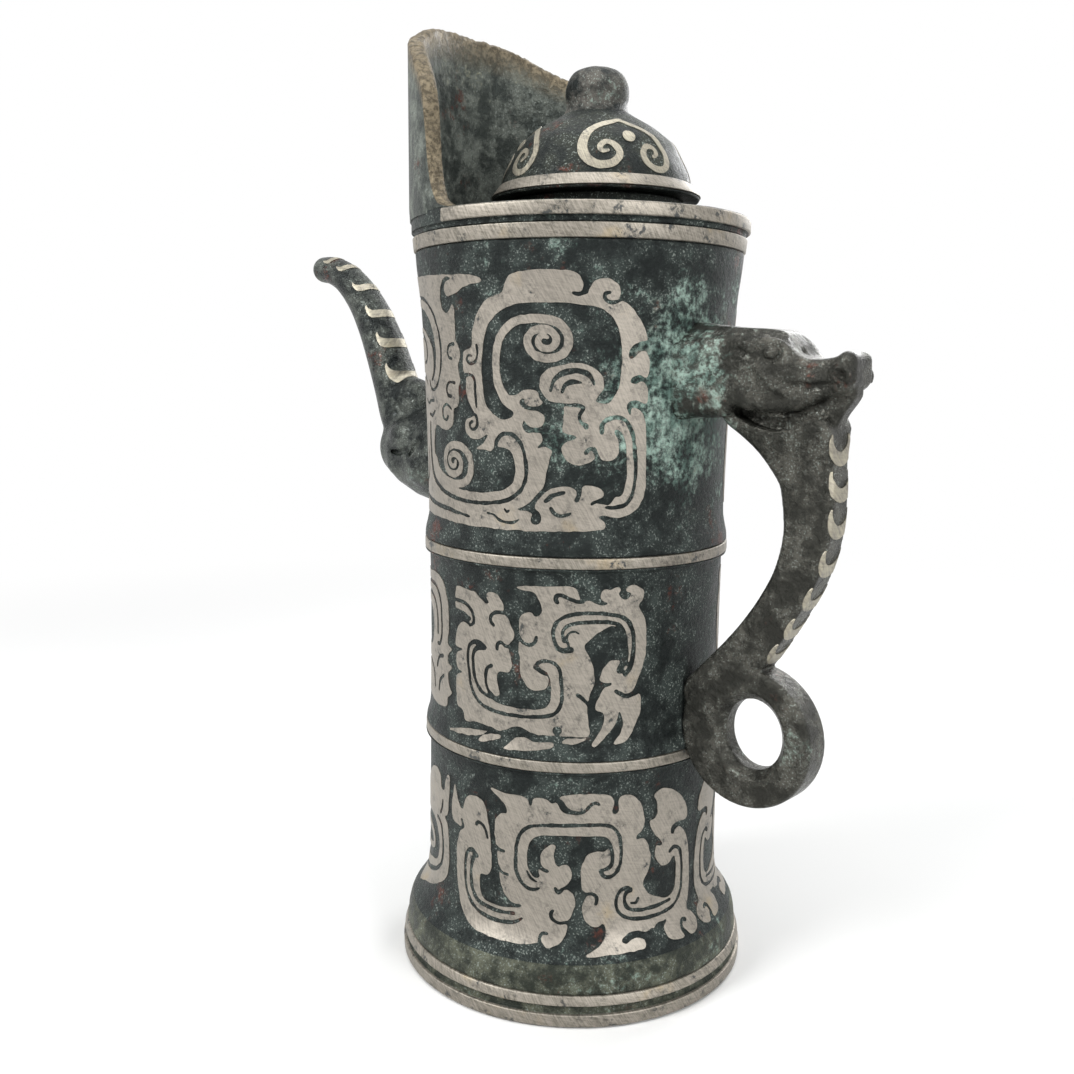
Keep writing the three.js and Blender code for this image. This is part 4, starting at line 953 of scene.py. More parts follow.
@dataclass(frozen=True)
class Patina:
    """Old bronze: a dark ground, grey-green mottling, pale malachite and brown-red cuprite."""

    name: str
    ground: Colour = (0.0085, 0.0115, 0.011)
    mottle: Colour = (0.04, 0.05, 0.046)
    bloom: Colour = (0.085, 0.14, 0.118)
    bloom_pale: Colour = (0.3, 0.41, 0.35)
    cuprite: Colour = (0.075, 0.024, 0.016)
    bloom_from: float = 0.66
    bloom_spot: tuple[float, float, float] = (48.0, -6.0, 172.0)
    bloom_reach: float = 56.0
    bloom_pull: float = 0.3
    cuprite_from: float = 0.62
    speck: Colour = (0.24, 0.27, 0.245)
    speckle: float = 0.8
    edge: Colour | None = None
    metallic: float = 0.45
    roughness: tuple[float, float] = (0.38, 0.72)
    grain: float = 0.16
    fineness: tuple[float, float, float, float] = (34, 150, 640, 1900)

    def make(self, axis_x: float) -> Material:
        """Builds the material round the vessel's axis."""
        shader = Shader(self.name, axis_x)
        clouds, patches, grits, dusts = self.fineness
        cloud = shader.noise(clouds, 5, 0.6)
        patch = shader.noise(patches, 7, 0.68)
        grit = shader.noise(grits, 5, 0.7)
        dust = shader.noise(dusts, 2, 0.5)
        ground = shader.mix(shader.between(patch, 0.4, 0.68), self.ground, self.mottle)
        pull = shader.maths("MULTIPLY", shader.near(self.bloom_spot, self.bloom_reach), self.bloom_pull)
        fine = shader.maths("MULTIPLY", shader.maths("SUBTRACT", grit, 0.5), 0.75)
        level = shader.maths("ADD", shader.maths("ADD", cloud, pull), fine)
        rough_patch = shader.maths("MULTIPLY", shader.maths("SUBTRACT", patch, 0.5), 0.55)
        level = shader.maths("ADD", level, rough_patch)
        bloom = shader.between(level, self.bloom_from, self.bloom_from + 0.3)
        bloom = shader.maths("MULTIPLY", bloom, shader.span(shader.between(grit, 0.36, 0.6), 0.25, 1.0))
        crust = shader.mix(shader.between(patch, 0.4, 0.62), self.bloom, self.bloom_pale)
        tone = shader.mix(bloom, ground, crust)
        red_cloud = shader.noise(61, 4, 0.6, self._shifted(shader))
        red_level = shader.maths("ADD", red_cloud, shader.maths("MULTIPLY", fine, 0.6))
        red = shader.between(red_level, self.cuprite_from, self.cuprite_from + 0.14)
        tone = shader.mix(red, tone, self.cuprite)
        crumbs = shader.maths("MULTIPLY", shader.between(dust, 0.56, 0.68), shader.between(patch, 0.42, 0.62))
        specks = shader.maths("MULTIPLY", crumbs, self.speckle)
        tone = shader.mix(specks, tone, self.speck)
        if self.edge is not None:
            rim = shader.node("ShaderNodeAttribute", attribute_name="edge").outputs["Fac"]
            deep = tuple(value * 0.35 for value in self.edge)
            crust = shader.mix(shader.between(grit, 0.4, 0.6), self.edge, deep)
            tone = shader.mix(rim, tone, crust)
        shader.feed("Base Color", tone)
        matt = shader.maths("MAXIMUM", bloom, shader.between(patch, 0.35, 0.75))
        shader.feed("Roughness", shader.span(matt, *self.roughness))
        shader.feed("Metallic", shader.maths("MULTIPLY", shader.maths("SUBTRACT", 1.0, bloom), self.metallic))
        shader.feed("IOR", 1.5)
        shader.feed("Specular IOR Level", 0.22)
        coarse = shader.relief(patch, 2.4 * self.grain)
        pits = shader.relief(shader.between(grit, 0.34, 0.6), self.grain, coarse)
        shader.feed("Normal", pits)
        return shader.material

    @staticmethod
    def _shifted(shader: Shader) -> Socket:
        """Coordinates moved away, so that two noises don't line up."""
        moved = shader.node("ShaderNodeMapping", {"Vector": shader.place})
        moved.inputs["Location"].default_value = (0.37, 0.11, 0.23)
        return moved.outputs[0]


@dataclass(frozen=True)
class WornSilver:
    """Silver rubbed bright, with diagonal scratches, a warm tarnish and dark nicks."""

    name: str
    bright: Colour = (0.325, 0.295, 0.252)
    dull: Colour = (0.205, 0.187, 0.16)
    warm: Colour = (0.37, 0.29, 0.17)
    dark: Colour = (0.03, 0.032, 0.03)
    warm_from: float = 0.6
    nick_from: float = 0.66
    stain: float = 0.45
    scratch_turn: float = 62.0
    scratch_depth: float = 0.035
    scratch_stretch: tuple[float, float] = (10.0, 12.0)
    fineness: tuple[float, float, float] = (48, 210, 900)
    metallic: float = 0.72
    roughness: tuple[float, float] = (0.36, 0.58)

    def make(self, axis_x: float) -> Material:
        """Builds the material round the vessel's axis."""
        shader = Shader(self.name, axis_x)
        clouds, patches, grits = self.fineness
        cloud = shader.noise(clouds, 5, 0.6)
        patch = shader.noise(patches, 6, 0.65)
        grit = shader.noise(grits, 4, 0.6)
        long, longer = self.scratch_stretch
        brushed = shader.noise(210, 6, 0.75, shader.wrapped(self.scratch_turn, long))
        crossed = shader.noise(170, 5, 0.7, shader.wrapped(self.scratch_turn - 50.0, longer))
        crossed = shader.maths("MULTIPLY", crossed, 0.35)
        lines = shader.maths("ADD", shader.maths("MULTIPLY", brushed, 0.65), crossed)
        tone = shader.mix(shader.between(lines, 0.38, 0.6), self.dull, self.bright)
        stain = shader.maths("MULTIPLY", shader.between(patch, 0.46, 0.66), shader.between(grit, 0.42, 0.56))
        tone = shader.mix(shader.maths("MULTIPLY", stain, self.stain), tone, self.dark)
        tone = shader.mix(shader.between(cloud, self.warm_from, self.warm_from + 0.2), tone, self.warm)
        soil = shader.maths("ADD", patch, shader.maths("MULTIPLY", shader.maths("SUBTRACT", grit, 0.5), 0.5))
        nicks = shader.between(soil, self.nick_from, self.nick_from + 0.06)
        tone = shader.mix(nicks, tone, self.dark)
        shader.feed("Base Color", tone)
        shader.feed("Metallic", shader.maths("MULTIPLY", shader.maths("SUBTRACT", 1.0, nicks), self.metallic))
        shader.feed("Roughness", shader.span(shader.between(lines, 0.3, 0.7), *self.roughness))
        shader.feed("IOR", 1.5)
        dents = shader.relief(patch, 0.12)
        shader.feed("Normal", shader.relief(lines, self.scratch_depth * 2, dents))
        return shader.material


@dataclass(frozen=True)
class Plain:
    """Pale matt floor that fades to white away from the ewer."""

    name: str
    colour: Colour
    roughness: float = 0.9
    fade: tuple[float, float] = (0.22, 0.75)

    def make(self) -> Material:
        """Builds the material."""
        shader = Shader(self.name, 0.0)
        tone = shader.mix(shader.noise(9, 3), self.colour, tuple(value * 0.985 for value in self.colour))
        shader.feed("Base Color", tone)
        shader.feed("Roughness", self.roughness)
        glow = shader.node("ShaderNodeEmission")
        far = shader.node("ShaderNodeVectorMath", {0: shader.place}, operation="LENGTH").outputs["Value"]
        rays = shader.node("ShaderNodeLightPath").outputs
        seen = shader.maths("MAXIMUM", rays["Is Camera Ray"], rays["Is Glossy Ray"])
        seen = shader.maths("MAXIMUM", seen, rays["Is Transmission Ray"])
        share = shader.maths("MULTIPLY", shader.between(far, *self.fade), seen)
        both = shader.node("ShaderNodeMixShader", {0: share, 1: shader.skin.outputs[0], 2: glow.outputs[0]})
        shader.group.links.new(both.outputs[0], shader.out.inputs[0])
        return shader.material


@dataclass
class Finishes:
    """All materials of the ewer."""

    axis_x: float
    body: Material = field(init=False)
    foot: Material = field(init=False)
    crest: Material = field(init=False)
    lid: Material = field(init=False)
    knob: Material = field(init=False)
    handle: Material = field(init=False)
    spout: Material = field(init=False)
    inlay: Material = field(init=False)
    band: Material = field(init=False)
    crescent: Material = field(init=False)

    def __post_init__(self) -> None:
        """Makes each material once."""
        axis = self.axis_x
        self.body = Patina("Bronze body").make(axis)
        self.foot = Patina(
            "Bronze foot", ground=(0.022, 0.026, 0.02), mottle=(0.12, 0.126, 0.092), bloom_from=0.68,
            bloom_pull=0.0,
        ).make(axis)
        self.crest = Patina(
            "Bronze crest", ground=(0.03, 0.036, 0.032), mottle=(0.165, 0.18, 0.157),
            bloom=(0.18, 0.185, 0.13), bloom_pale=(0.28, 0.275, 0.19), bloom_spot=(-44, 0, 280),
            bloom_reach=44, bloom_pull=0.16, edge=(0.2, 0.165, 0.11),
        ).make(axis)
        self.lid = Patina(
            "Bronze lid", mottle=(0.036, 0.04, 0.032), bloom_from=0.7, bloom_pull=0.0
        ).make(axis)
        self.knob = Patina(
            "Bronze knob", mottle=(0.12, 0.112, 0.098), bloom_from=0.72, bloom_pull=0.0
        ).make(axis)
        self.handle = Patina(
            "Bronze handle", ground=(0.026, 0.026, 0.022), mottle=(0.088, 0.085, 0.072), bloom_from=0.68,
            bloom_spot=(42, -8, 178), bloom_reach=30, bloom_pull=0.3, roughness=(0.17, 0.4), metallic=0.6,
        ).make(axis)
        self.spout = Patina(
            "Bronze spout", mottle=(0.09, 0.098, 0.085), bloom_from=0.68, bloom_pull=0.0,
            roughness=(0.22, 0.5),
        ).make(axis)
        self.inlay = WornSilver("Silver inlay").make(axis)
        self.band = WornSilver(
            "Silver bands", dull=(0.15, 0.137, 0.11), nick_from=0.62, warm_from=0.56, stain=0.65,
        ).make(axis)
        self.crescent = WornSilver("Silver crescents", bright=(0.4, 0.37, 0.285), nick_from=0.7).make(axis)


# Dragon panels, drawn as (distance round the wall from the panel's seam, height)


@dataclass(frozen=True)
class UpperPanel:
    """Upper tier: two interlocked dragons with spiral tails."""

    low: tuple[float, float] = (-69.5, 133.5)
    high: tuple[float, float] = (19.5, 206.5)

    def draw(self) -> Drawing:
        """Draws the tier."""
        sheet = Drawing(self.low, self.high)
        self._silhouette(sheet)
        self._left_dragon(sheet)
        self._right_dragon(sheet)
        self._lower_coil(sheet)
        self._cloud(sheet)
        return sheet.nick(11)

    @staticmethod
    def _silhouette(sheet: Drawing) -> None:
        """Fills the outside and cuts the ground between the two dragons."""
        sheet.area([
            (-67.4, 202.5), (-66, 203.9), (-55, 203.7), (-40, 203.2), (-30, 202.6), (-27.2, 201.7),
            (-26.4, 200.9), (-24.5, 199.6), (-21, 197.8), (-20.1, 200.2), (-18.7, 202.2), (-15.2, 203.1),
            (-10.6, 203.4), (-5.4, 203.2), (-2.2, 202.6), (-0.8, 201.1), (-0.3, 199), (-0.6, 197.9),
            (0.3, 197.4), (1.2, 198.7), (2.4, 200.5), (4.4, 201.2), (6.7, 200.8), (8.4, 199.3),
            (8.9, 197.6), (8.3, 196), (9.4, 195.7), (10.7, 195.1), (13, 192.7), (14.8, 190.4),
            (16.2, 187.5), (16.5, 185.9), (14.8, 185.6), (12.5, 184.6), (11.6, 182.9), (11.9, 181.2),
            (13.3, 181.7), (14.2, 182.8), (15.9, 183.2), (17.1, 181.2), (17.2, 178.3), (16.5, 176.2),
            (14.8, 177.1), (12.8, 176.6), (12, 175.1), (13.5, 174.9), (15.6, 175.4), (16.6, 174.6),
            (17.1, 173.1), (17.2, 170.2), (16.5, 169.6), (14.2, 170.5), (11.9, 170.2), (11.3, 168.7),
            (12.5, 166.4), (12.8, 168.5), (14.8, 168.2), (16.5, 165.6), (17.1, 161), (17.3, 152.3),
            (17.4, 147.7), (16.5, 144.2), (14.8, 141.9), (11.9, 140.2), (8.4, 139.9), (5.5, 140.5),
            (4.1, 139.9), (5.5, 139.3), (6.4, 138.2), (6.1, 137), (4.4, 136.6), (-8.3, 136.1),
            (-31.4, 136.1), (-45, 136.6), (-60, 137.2), (-66, 138), (-67.6, 140), (-68, 150), (-68, 170),
            (-68, 190),
        ])
        sheet.area([
            (-26.6, 200.9), (-27.8, 200.5), (-30.5, 200.3), (-33, 199.6), (-36, 198.3), (-37.7, 197.7),
            (-38.4, 196), (-37.4, 194.8), (-37.2, 190), (-37.2, 185.6), (-36.2, 184.6), (-35.6, 182.4),
            (-36, 180.6), (-36.6, 179.6), (-36.3, 177), (-35.9, 175), (-36.6, 173.4), (-36.6, 171),
            (-36.9, 168.9), (-38, 167.9), (-39.2, 167.5), (-39.2, 165.2), (-40.2, 162.9), (-42.5, 161.5),
            (-45.5, 161.9), (-49.4, 162.7), (-51.4, 159.5), (-51.7, 155.5), (-50.4, 151.5), (-47, 148.4),
            (-42, 146.5), (-36, 145.6), (-30, 145.4), (-24, 146), (-20.6, 146.9), (-18.6, 148.8),
            (-17.9, 151.5), (-18.1, 154), (-18.9, 156.6), (-20.6, 157.7), (-22.7, 158), (-24.4, 157.6),
            (-25.5, 156.7), (-27.5, 157.1), (-30.3, 157.1), (-28.5, 158.3), (-27, 159.6), (-26.2, 161.2),
            (-28.3, 160.2), (-30.8, 159.7), (-33.4, 160.7), (-34.4, 162.7), (-33.7, 164.7), (-31.8, 165.6),
            (-30.5, 166.4), (-32, 168.5), (-33.4, 171.9), (-33.4, 175.4), (-33.7, 176.6), (-34.3, 177.9),
            (-34.5, 181.1), (-34, 182.9), (-31.6, 183.8), (-30.8, 184.8), (-30.9, 186.5), (-30.3, 189),
            (-28.5, 193), (-25.3, 196.5), (-21.3, 197.9), (-22.6, 201.2), (-25.4, 202.2),
        ], silver=False)

    @staticmethod
    def _left_dragon(sheet: Drawing) -> None:
        """Cuts the lines of the dragon on the spout's side."""
        sheet.area([
            (-37.6, 202.1), (-39.5, 202.6), (-41.6, 201.8), (-42.9, 199.6), (-43.3, 196.8), (-42.6, 194.3),
            (-40.8, 193.2), (-39.3, 193.9), (-38.2, 195.2), (-37.2, 196.6), (-37.7, 197.9), (-39.3, 197.5),
            (-40.7, 198.3), (-40.9, 199.9), (-40, 201.3), (-38.6, 201.8),
        ], silver=False)
        sheet.cut([
            (-68.5, 198.3), (-58, 198), (-52, 196.2), (-47.3, 192), (-44.9, 186), (-45.1, 179),
            (-47.5, 174.2), (-50.5, 172.4), (-53, 173.2), (-54, 175),
        ], 1.0)
        sheet.area([
            (-68.5, 195.6), (-57, 194.7), (-52, 192.1), (-48.6, 187), (-48, 181), (-49.8, 176),
            (-52.4, 174.8), (-50.6, 177), (-49.9, 180), (-50.7, 184.2), (-54, 187.3), (-60, 189.8),
            (-68.5, 190.6),
        ], silver=False)
        sheet.cut([
            (-68.5, 187.6, 1.6), (-60, 187.6, 1.5), (-56.6, 185.4, 1.4), (-55.7, 182.6, 1.3),
            (-57, 180.4, 1.1), (-60, 180, 0.8),
        ])
        sheet.cut([(-68.5, 176.5, 1.8), (-63, 176.6, 1.5), (-58.5, 175.4, 1.2), (-56.6, 173.5, 0.6)])
        sheet.cut([(-38, 184.9), (-40, 184.7), (-41.1, 183), (-40.5, 181.3), (-39.2, 181.1)], 0.9)
        sheet.cut([(-38.2, 174.6), (-40.9, 174.6), (-42.2, 172.9), (-41.6, 171.1), (-40, 170.9)], 0.9)
        sheet.cut([
            (-40.2, 167.4), (-42.5, 168.7), (-44.6, 167.4), (-44.6, 165.2), (-43, 164.3), (-42, 165.4),
        ], 0.9)
        sheet.cut([(-50.6, 169.5), (-53.5, 169.4), (-56, 168.6), (-59, 169.6)], 0.9)
        sheet.cut([(-50.2, 166.6), (-52.6, 165.2), (-55.5, 165.6)], 0.9)

    @staticmethod
    def _right_dragon(sheet: Drawing) -> None:
        """Cuts the coil, the leaf, the tongue and the barbs of the dragon on the handle's side."""
        sheet.area([
            (-18.3, 166.8), (-18.8, 165.9), (-21.6, 165.3), (-25, 167), (-26.8, 169.6), (-27.6, 174.2),
            (-27.8, 180), (-27.1, 185.2), (-25.3, 189.8), (-22.1, 193), (-17, 194.9), (-10.6, 195.2),
            (-4.8, 195.1), (0.4, 194.5), (4.4, 193.6), (7, 191.5), (9, 187.5), (9.7, 183.5), (9.7, 177.7),
            (9, 173.6), (7, 170.2), (4.7, 169.7), (3.1, 170.3), (3.7, 171.6), (5.1, 173.4), (4.9, 176.5),
            (2.7, 178.8), (-1.4, 180), (-6, 179.4), (-9.7, 178), (-11.2, 175.4), (-10.6, 172.5),
            (-8.8, 170.2), (-9.8, 169.7), (-11.1, 170.9), (-11.6, 172.4), (-13.4, 173.1), (-15.8, 172.9),
            (-17.6, 171.6), (-19.6, 171.4), (-20.4, 170),
        ], silver=False)
        sheet.stroke([
            (-17.6, 168.6, 3.2), (-20.2, 170.3, 2.7), (-22.4, 173.6, 2.3), (-23.2, 178), (-23, 183),
            (-21.2, 187.6), (-17.6, 190.5), (-11, 191.2), (-6.5, 190.2), (-4.1, 187.4), (-3.9, 184.3),
            (-5.8, 181.9), (-9.5, 181.1), (-12.8, 182.3, 2.1), (-14.4, 185.2, 2.1), (-13.2, 187.7, 2),
            (-10.3, 188.6, 1.9), (-7.8, 187.7, 1.9), (-6.9, 185.9, 1.9), (-7.6, 184.2, 1.8),
            (-9.5, 183.6, 1.7), (-11.3, 184.5, 1.7), (-11.6, 186, 1.6), (-10.4, 187, 1.5),
            (-9.2, 186.5, 1.2),
        ], 2.2)
        sheet.cut([
            (-8.3, 172.9, 0.9), (-7.4, 175.6, 1.2), (-5, 177.5, 1.5), (-1, 178, 1.5), (1.6, 176.8, 1.3),
            (2.8, 174.4, 0.7),
        ])
        sheet.cut([(-5.3, 172.6, 0.9), (-4.6, 174.4, 1.3), (-2.9, 175.2, 1.4), (-0.3, 175, 0.7)])
        sheet.area([
            (-9.7, 170), (-8.4, 169.7), (-5.2, 169.5), (-4.9, 168.9), (-4.8, 167.8), (-4.9, 165.2),
            (-5.2, 162.5), (-4.4, 161.9), (-2.4, 161.5), (-1.4, 160.9), (-3, 160.1), (-4.6, 159.6),
            (-5.4, 158.2), (-4.9, 156), (-3, 154.1), (-0.4, 153.7), (2, 154.5), (3.6, 155.6), (5.2, 155.1),
            (7.5, 155), (9.2, 156.3), (9.6, 158.8), (9.1, 160.8), (8.1, 162.2), (8.4, 163.2), (9.5, 162.9),
            (10.9, 161.2), (11.6, 158.6), (11.9, 154), (11.8, 149.5), (11, 146.5), (10.2, 145.2),
            (8.8, 145.4), (8.2, 144.2), (7, 143.3), (5.2, 143.5), (3.9, 143.9), (2.4, 142.9), (2.2, 143.8),
            (4.2, 144.6), (5.7, 145.6), (5.4, 147.1), (3.6, 148), (1.5, 148.4), (0.2, 148), (0, 147),
            (-0.3, 145), (-1.3, 143.9), (-2, 144.5), (-1.4, 145.8), (-1.7, 147.2), (-3.2, 148), (-6, 148),
            (-8.5, 147.2), (-10.6, 145.4), (-12, 143.8), (-12.4, 142.2), (-11, 141), (-10.6, 139.2),
            (-11.4, 137.8), (-13, 137.8), (-13.6, 139), (-13, 140.6), (-14.8, 141.3), (-17.6, 141.6),
            (-15.4, 142.5), (-13.4, 144.2), (-11.6, 146), (-10.3, 147.6), (-9.7, 149.6), (-9.2, 152),
            (-8.4, 155.4), (-7.9, 157.5), (-9.8, 158.3), (-12.2, 157.8), (-11.2, 158.9), (-10.3, 160.2),
            (-10.9, 161.7), (-12.8, 162), (-14.6, 161.9), (-15.8, 163.6), (-15.5, 165.4), (-14.8, 164.2),
            (-13.2, 163.3), (-11.4, 163.3), (-10, 164.4), (-9.9, 166.4), (-11.2, 167.4), (-13.6, 167.8),
            (-15.9, 168.5), (-16.6, 170), (-15.3, 170.9), (-15.1, 169.6), (-13.4, 168.7), (-11.6, 168.9),
        ], silver=False)
        sheet.cut([
            (-9.6, 170), (-5.4, 169.4), (-1, 169.2), (0.2, 168.6), (-0.9, 166.6), (-0.5, 164.9), (1, 163.8),
        ], 0.9)
        sheet.cut([(0.8, 163.9, 1.3), (0.9, 163.7, 1.3)])
        sheet.cut([(-2.9, 197.6, 0.7), (-1.2, 197.2, 1), (0.4, 198, 1.1)])
        sheet.cut([(8.6, 195.7), (6.5, 195.3), (4.9, 196.3), (5, 197.5), (6.3, 197.8)], 0.9)
        sheet.cut([
            (-29.4, 184.6), (-29.1, 182.4), (-29.9, 180.3), (-31.6, 179.7), (-33, 180.8), (-32.4, 182),
            (-31.2, 181.7),
        ], 0.8)
        sheet.cut([(-34, 176.6, 1), (-31.6, 176.8), (-30.3, 175.4), (-30.2, 172), (-29.8, 168, 0.6)], 0.9)
        sheet.cut([
            (-30.3, 166.2), (-29.6, 164.4), (-30.3, 162.6), (-31.9, 162.3), (-32.6, 163.7), (-31.5, 164.3),
        ], 0.9)

    @staticmethod
    def _lower_coil(sheet: Drawing) -> None:
        """Cuts the long line round the lower coil and draws its spiral."""
        sheet.cut([
            (-23.9, 157, 1.4), (-23.3, 159.6, 1.2), (-21.6, 161.3), (-18.8, 161.4), (-16.4, 159.2),
            (-15.2, 155.5), (-14.8, 151), (-16, 147.3), (-19, 144.5), (-25, 142.9), (-33, 142.6),
            (-41, 143.5, 1.2), (-48, 145.4, 1.4), (-52.6, 148.2, 1.8), (-54.8, 152.5, 2), (-55.5, 158, 2),
            (-55.2, 163, 1.4),
        ], 1.1)
        sheet.stroke([
            (-51.2, 153.6, 1.7), (-48.6, 150.2), (-43.5, 147.8), (-38, 147.1), (-34, 148.3, 2.1),
            (-32.4, 151.4, 2.1), (-33, 155, 2.1), (-36, 157.4, 2.1), (-40, 157.6, 2.1), (-43.3, 155.9),
            (-44.2, 152.9), (-42.8, 150.5, 1.9), (-39.7, 149.6, 1.9), (-37.1, 150.7, 1.8),
            (-36.4, 153, 1.8), (-38, 155, 1.7), (-40.3, 155.1, 1.6), (-41.8, 153.6, 1.5), (-41, 152, 1.4),
            (-39.3, 152, 1.3), (-38.9, 153.2, 1.2),
        ], 2)
        sheet.cut([
            (-68.5, 142.4, 1.6), (-60, 141.4, 1.5), (-50, 140.3, 1.4), (-41, 139.5, 1.2), (-33, 138.5, 0.6),
        ])
        sheet.cut([(-68.5, 146.6, 1.6), (-62, 146.4, 1.5), (-58.8, 149.5, 1.2), (-58.5, 156, 0.7)])
        sheet.cut([
            (-26.6, 140, 0.7), (-24.5, 139.7), (-23, 138.5), (-20.8, 138), (-18.5, 138.1),
            (-16.8, 138.9, 0.7),
        ], 0.8)
        sheet.cut([(-21.2, 141.6), (-20.5, 140.6), (-19.7, 141.2)], 0.5)

    @staticmethod
    def _cloud(sheet: Drawing) -> None:
        """Cuts the line round the right limb and the eyes of the clouds."""
        sheet.cut([
            (5, 162.2, 1.3), (4.9, 164.2, 1.3), (7.3, 166), (10.4, 165.9), (12.8, 163), (13.9, 158),
            (14.3, 151), (13.4, 145.6), (11.8, 143.4), (8.4, 142.5, 1.3), (6.4, 142.6, 0.8),
        ], 1.1)
        sheet.cut([(1, 157, 1.2), (1.6, 158), (3, 157.9), (3.6, 156.6, 1), (4.3, 155.2)], 1.1)
        sheet.cut([(-9.6, 144.1, 1), (-7.6, 145.6, 1.3), (-4.6, 146.5, 0.8)])
        sheet.cut([(-8.1, 142.2, 0.9), (-7, 140.7, 1.1), (-5, 140.2, 1), (-2.8, 141, 0.6)])


@dataclass(frozen=True)
class MiddlePanel:
    """Middle tier: two dragons face to face, with claws below."""

    low: tuple[float, float] = (-69.5, 74.0)
    high: tuple[float, float] = (21.0, 123.6)

    def draw(self) -> Drawing:
        """Draws the tier."""
        sheet = Drawing(self.low, self.high)
        sheet.area([
            (-39.1, 118.3), (-34.8, 118), (-30.8, 117.5), (-29.4, 116.2), (-28.2, 115.4), (-27.3, 114.9),
            (-26.2, 115.3), (-27.4, 117), (-26.9, 117.9), (-25.6, 118.5), (-23.9, 118.2), (-22.4, 116.8),
            (-21.7, 115.3), (-21.5, 113.3), (-20.4, 111.9), (-19.2, 109.6), (-18.2, 107.6), (-18.4, 106.1),
            (-19.8, 104.7), (-19.6, 103.5), (-19.8, 102.9), (-19.2, 100.9), (-18.9, 98.6), (-19.8, 96.9),
            (-21.6, 96.6), (-23, 96.4), (-23.6, 95.2), (-23.3, 92.8), (-22.6, 90.4), (-23.2, 89.7),
            (-26.4, 88.9), (-24, 87.8), (-19.8, 87.2), (-12, 87.1), (-9.2, 87.8), (-7.9, 89.5),
            (-7.6, 92.5), (-7.9, 96), (-8.6, 97.4), (-10, 97.6), (-10.3, 97.2), (-8.9, 96.9), (-8.3, 95.2),
            (-9.2, 93.1), (-11.2, 92.6), (-13.5, 92.8), (-15.2, 94.6), (-16.3, 96.9), (-16.4, 99.8),
            (-17, 103.8), (-16.8, 106), (-16.7, 108.4), (-16.8, 110.7), (-16.1, 113), (-14.4, 113.9),
            (-12.9, 113.7), (-12.6, 112.8), (-11.5, 113), (-10.3, 114.5), (-10.6, 116.2), (-11.5, 117.7),
            (-12.3, 119.3), (-15.8, 119.8), (-17.8, 120.6), (-15.2, 121.1), (-10.6, 121.2), (-6, 121.4),
            (-2.5, 121.4), (-0.8, 120.4), (-0.3, 118.8), (0.3, 117.6), (2.7, 117.6), (4.1, 116.8),
            (6.4, 116.2), (7.9, 116.9), (5.8, 117.9), (5.5, 119.7), (6.6, 120.7), (8.4, 120.4),
            (9.6, 121.1), (10.8, 120.8), (11, 119.4), (11.9, 118.5), (13.2, 118.6), (13.4, 119.5),
            (12.5, 120.2), (13.9, 121.6), (15.9, 121.2), (17.7, 120), (17.4, 117.1), (16.4, 116.2),
            (16.5, 115.1), (17.9, 113.3), (18.8, 110.2), (18.9, 106.7), (18.8, 103.2), (18.2, 99.8),
            (17.1, 96.9), (15.9, 94), (14.8, 92.3), (13, 91.7), (11.3, 92.6), (10.3, 92.4), (11.3, 91.3),
            (14, 90.8), (16.2, 91.6), (17.1, 91.4), (17.5, 89.4), (17.4, 86.5), (16.2, 83.6), (14.8, 80.7),
            (12.8, 78.4), (10.7, 77.8), (9.6, 78), (11.6, 80.7), (12.3, 83), (12, 85.5), (11.2, 87),
            (10.9, 85.5), (10.2, 83.6), (8.4, 81.3), (6.4, 79), (4.1, 77.3), (3.5, 77.8), (5, 80.2),
            (6.4, 82.5), (7, 85.3), (6.4, 87.1), (4.7, 87.4), (4.5, 88.8), (5.5, 91.1), (6.7, 93.4),
            (8.4, 94.8), (5.8, 95.4), (6.4, 98.6), (7.8, 100.6), (9.6, 101.2), (11.3, 100.9), (10.3, 98.6),
            (10.6, 97.4), (11.9, 97.5), (12.5, 99.2), (12.9, 102.1), (12.9, 105), (12.2, 107.8),
            (10.7, 110.2), (8.4, 110.6), (6.1, 109.6), (3.2, 107.3), (1.2, 105.3), (2.7, 102.1),
            (3.8, 99.2), (4.1, 95.2), (2.9, 91.7), (2.4, 88.2), (2.7, 83.6), (2.9, 80.4), (-1.4, 80.2),
            (-7, 80.3), (-11, 80.2), (-13.4, 80.8), (-16, 81.8), (-19, 81.3), (-22.4, 79.9), (-25, 80.4),
            (-30, 80.9), (-35.4, 80.6), (-35.7, 82.4), (-37, 83.4), (-38.8, 83.9), (-39.2, 86),
            (-39.3, 92.6), (-36.4, 93.9), (-38.9, 95), (-39.3, 99.2), (-36.5, 100.6), (-39.6, 101.2),
            (-39.9, 103), (-38.7, 106.7), (-37.3, 108.2), (-35.8, 108.6), (-33.6, 108.2), (-33.6, 109.4),
            (-36, 110.3), (-39.2, 111),
        ])
        self._lines(sheet)
        self._claws(sheet)
        self._neighbour(sheet)
        return sheet.nick(12)

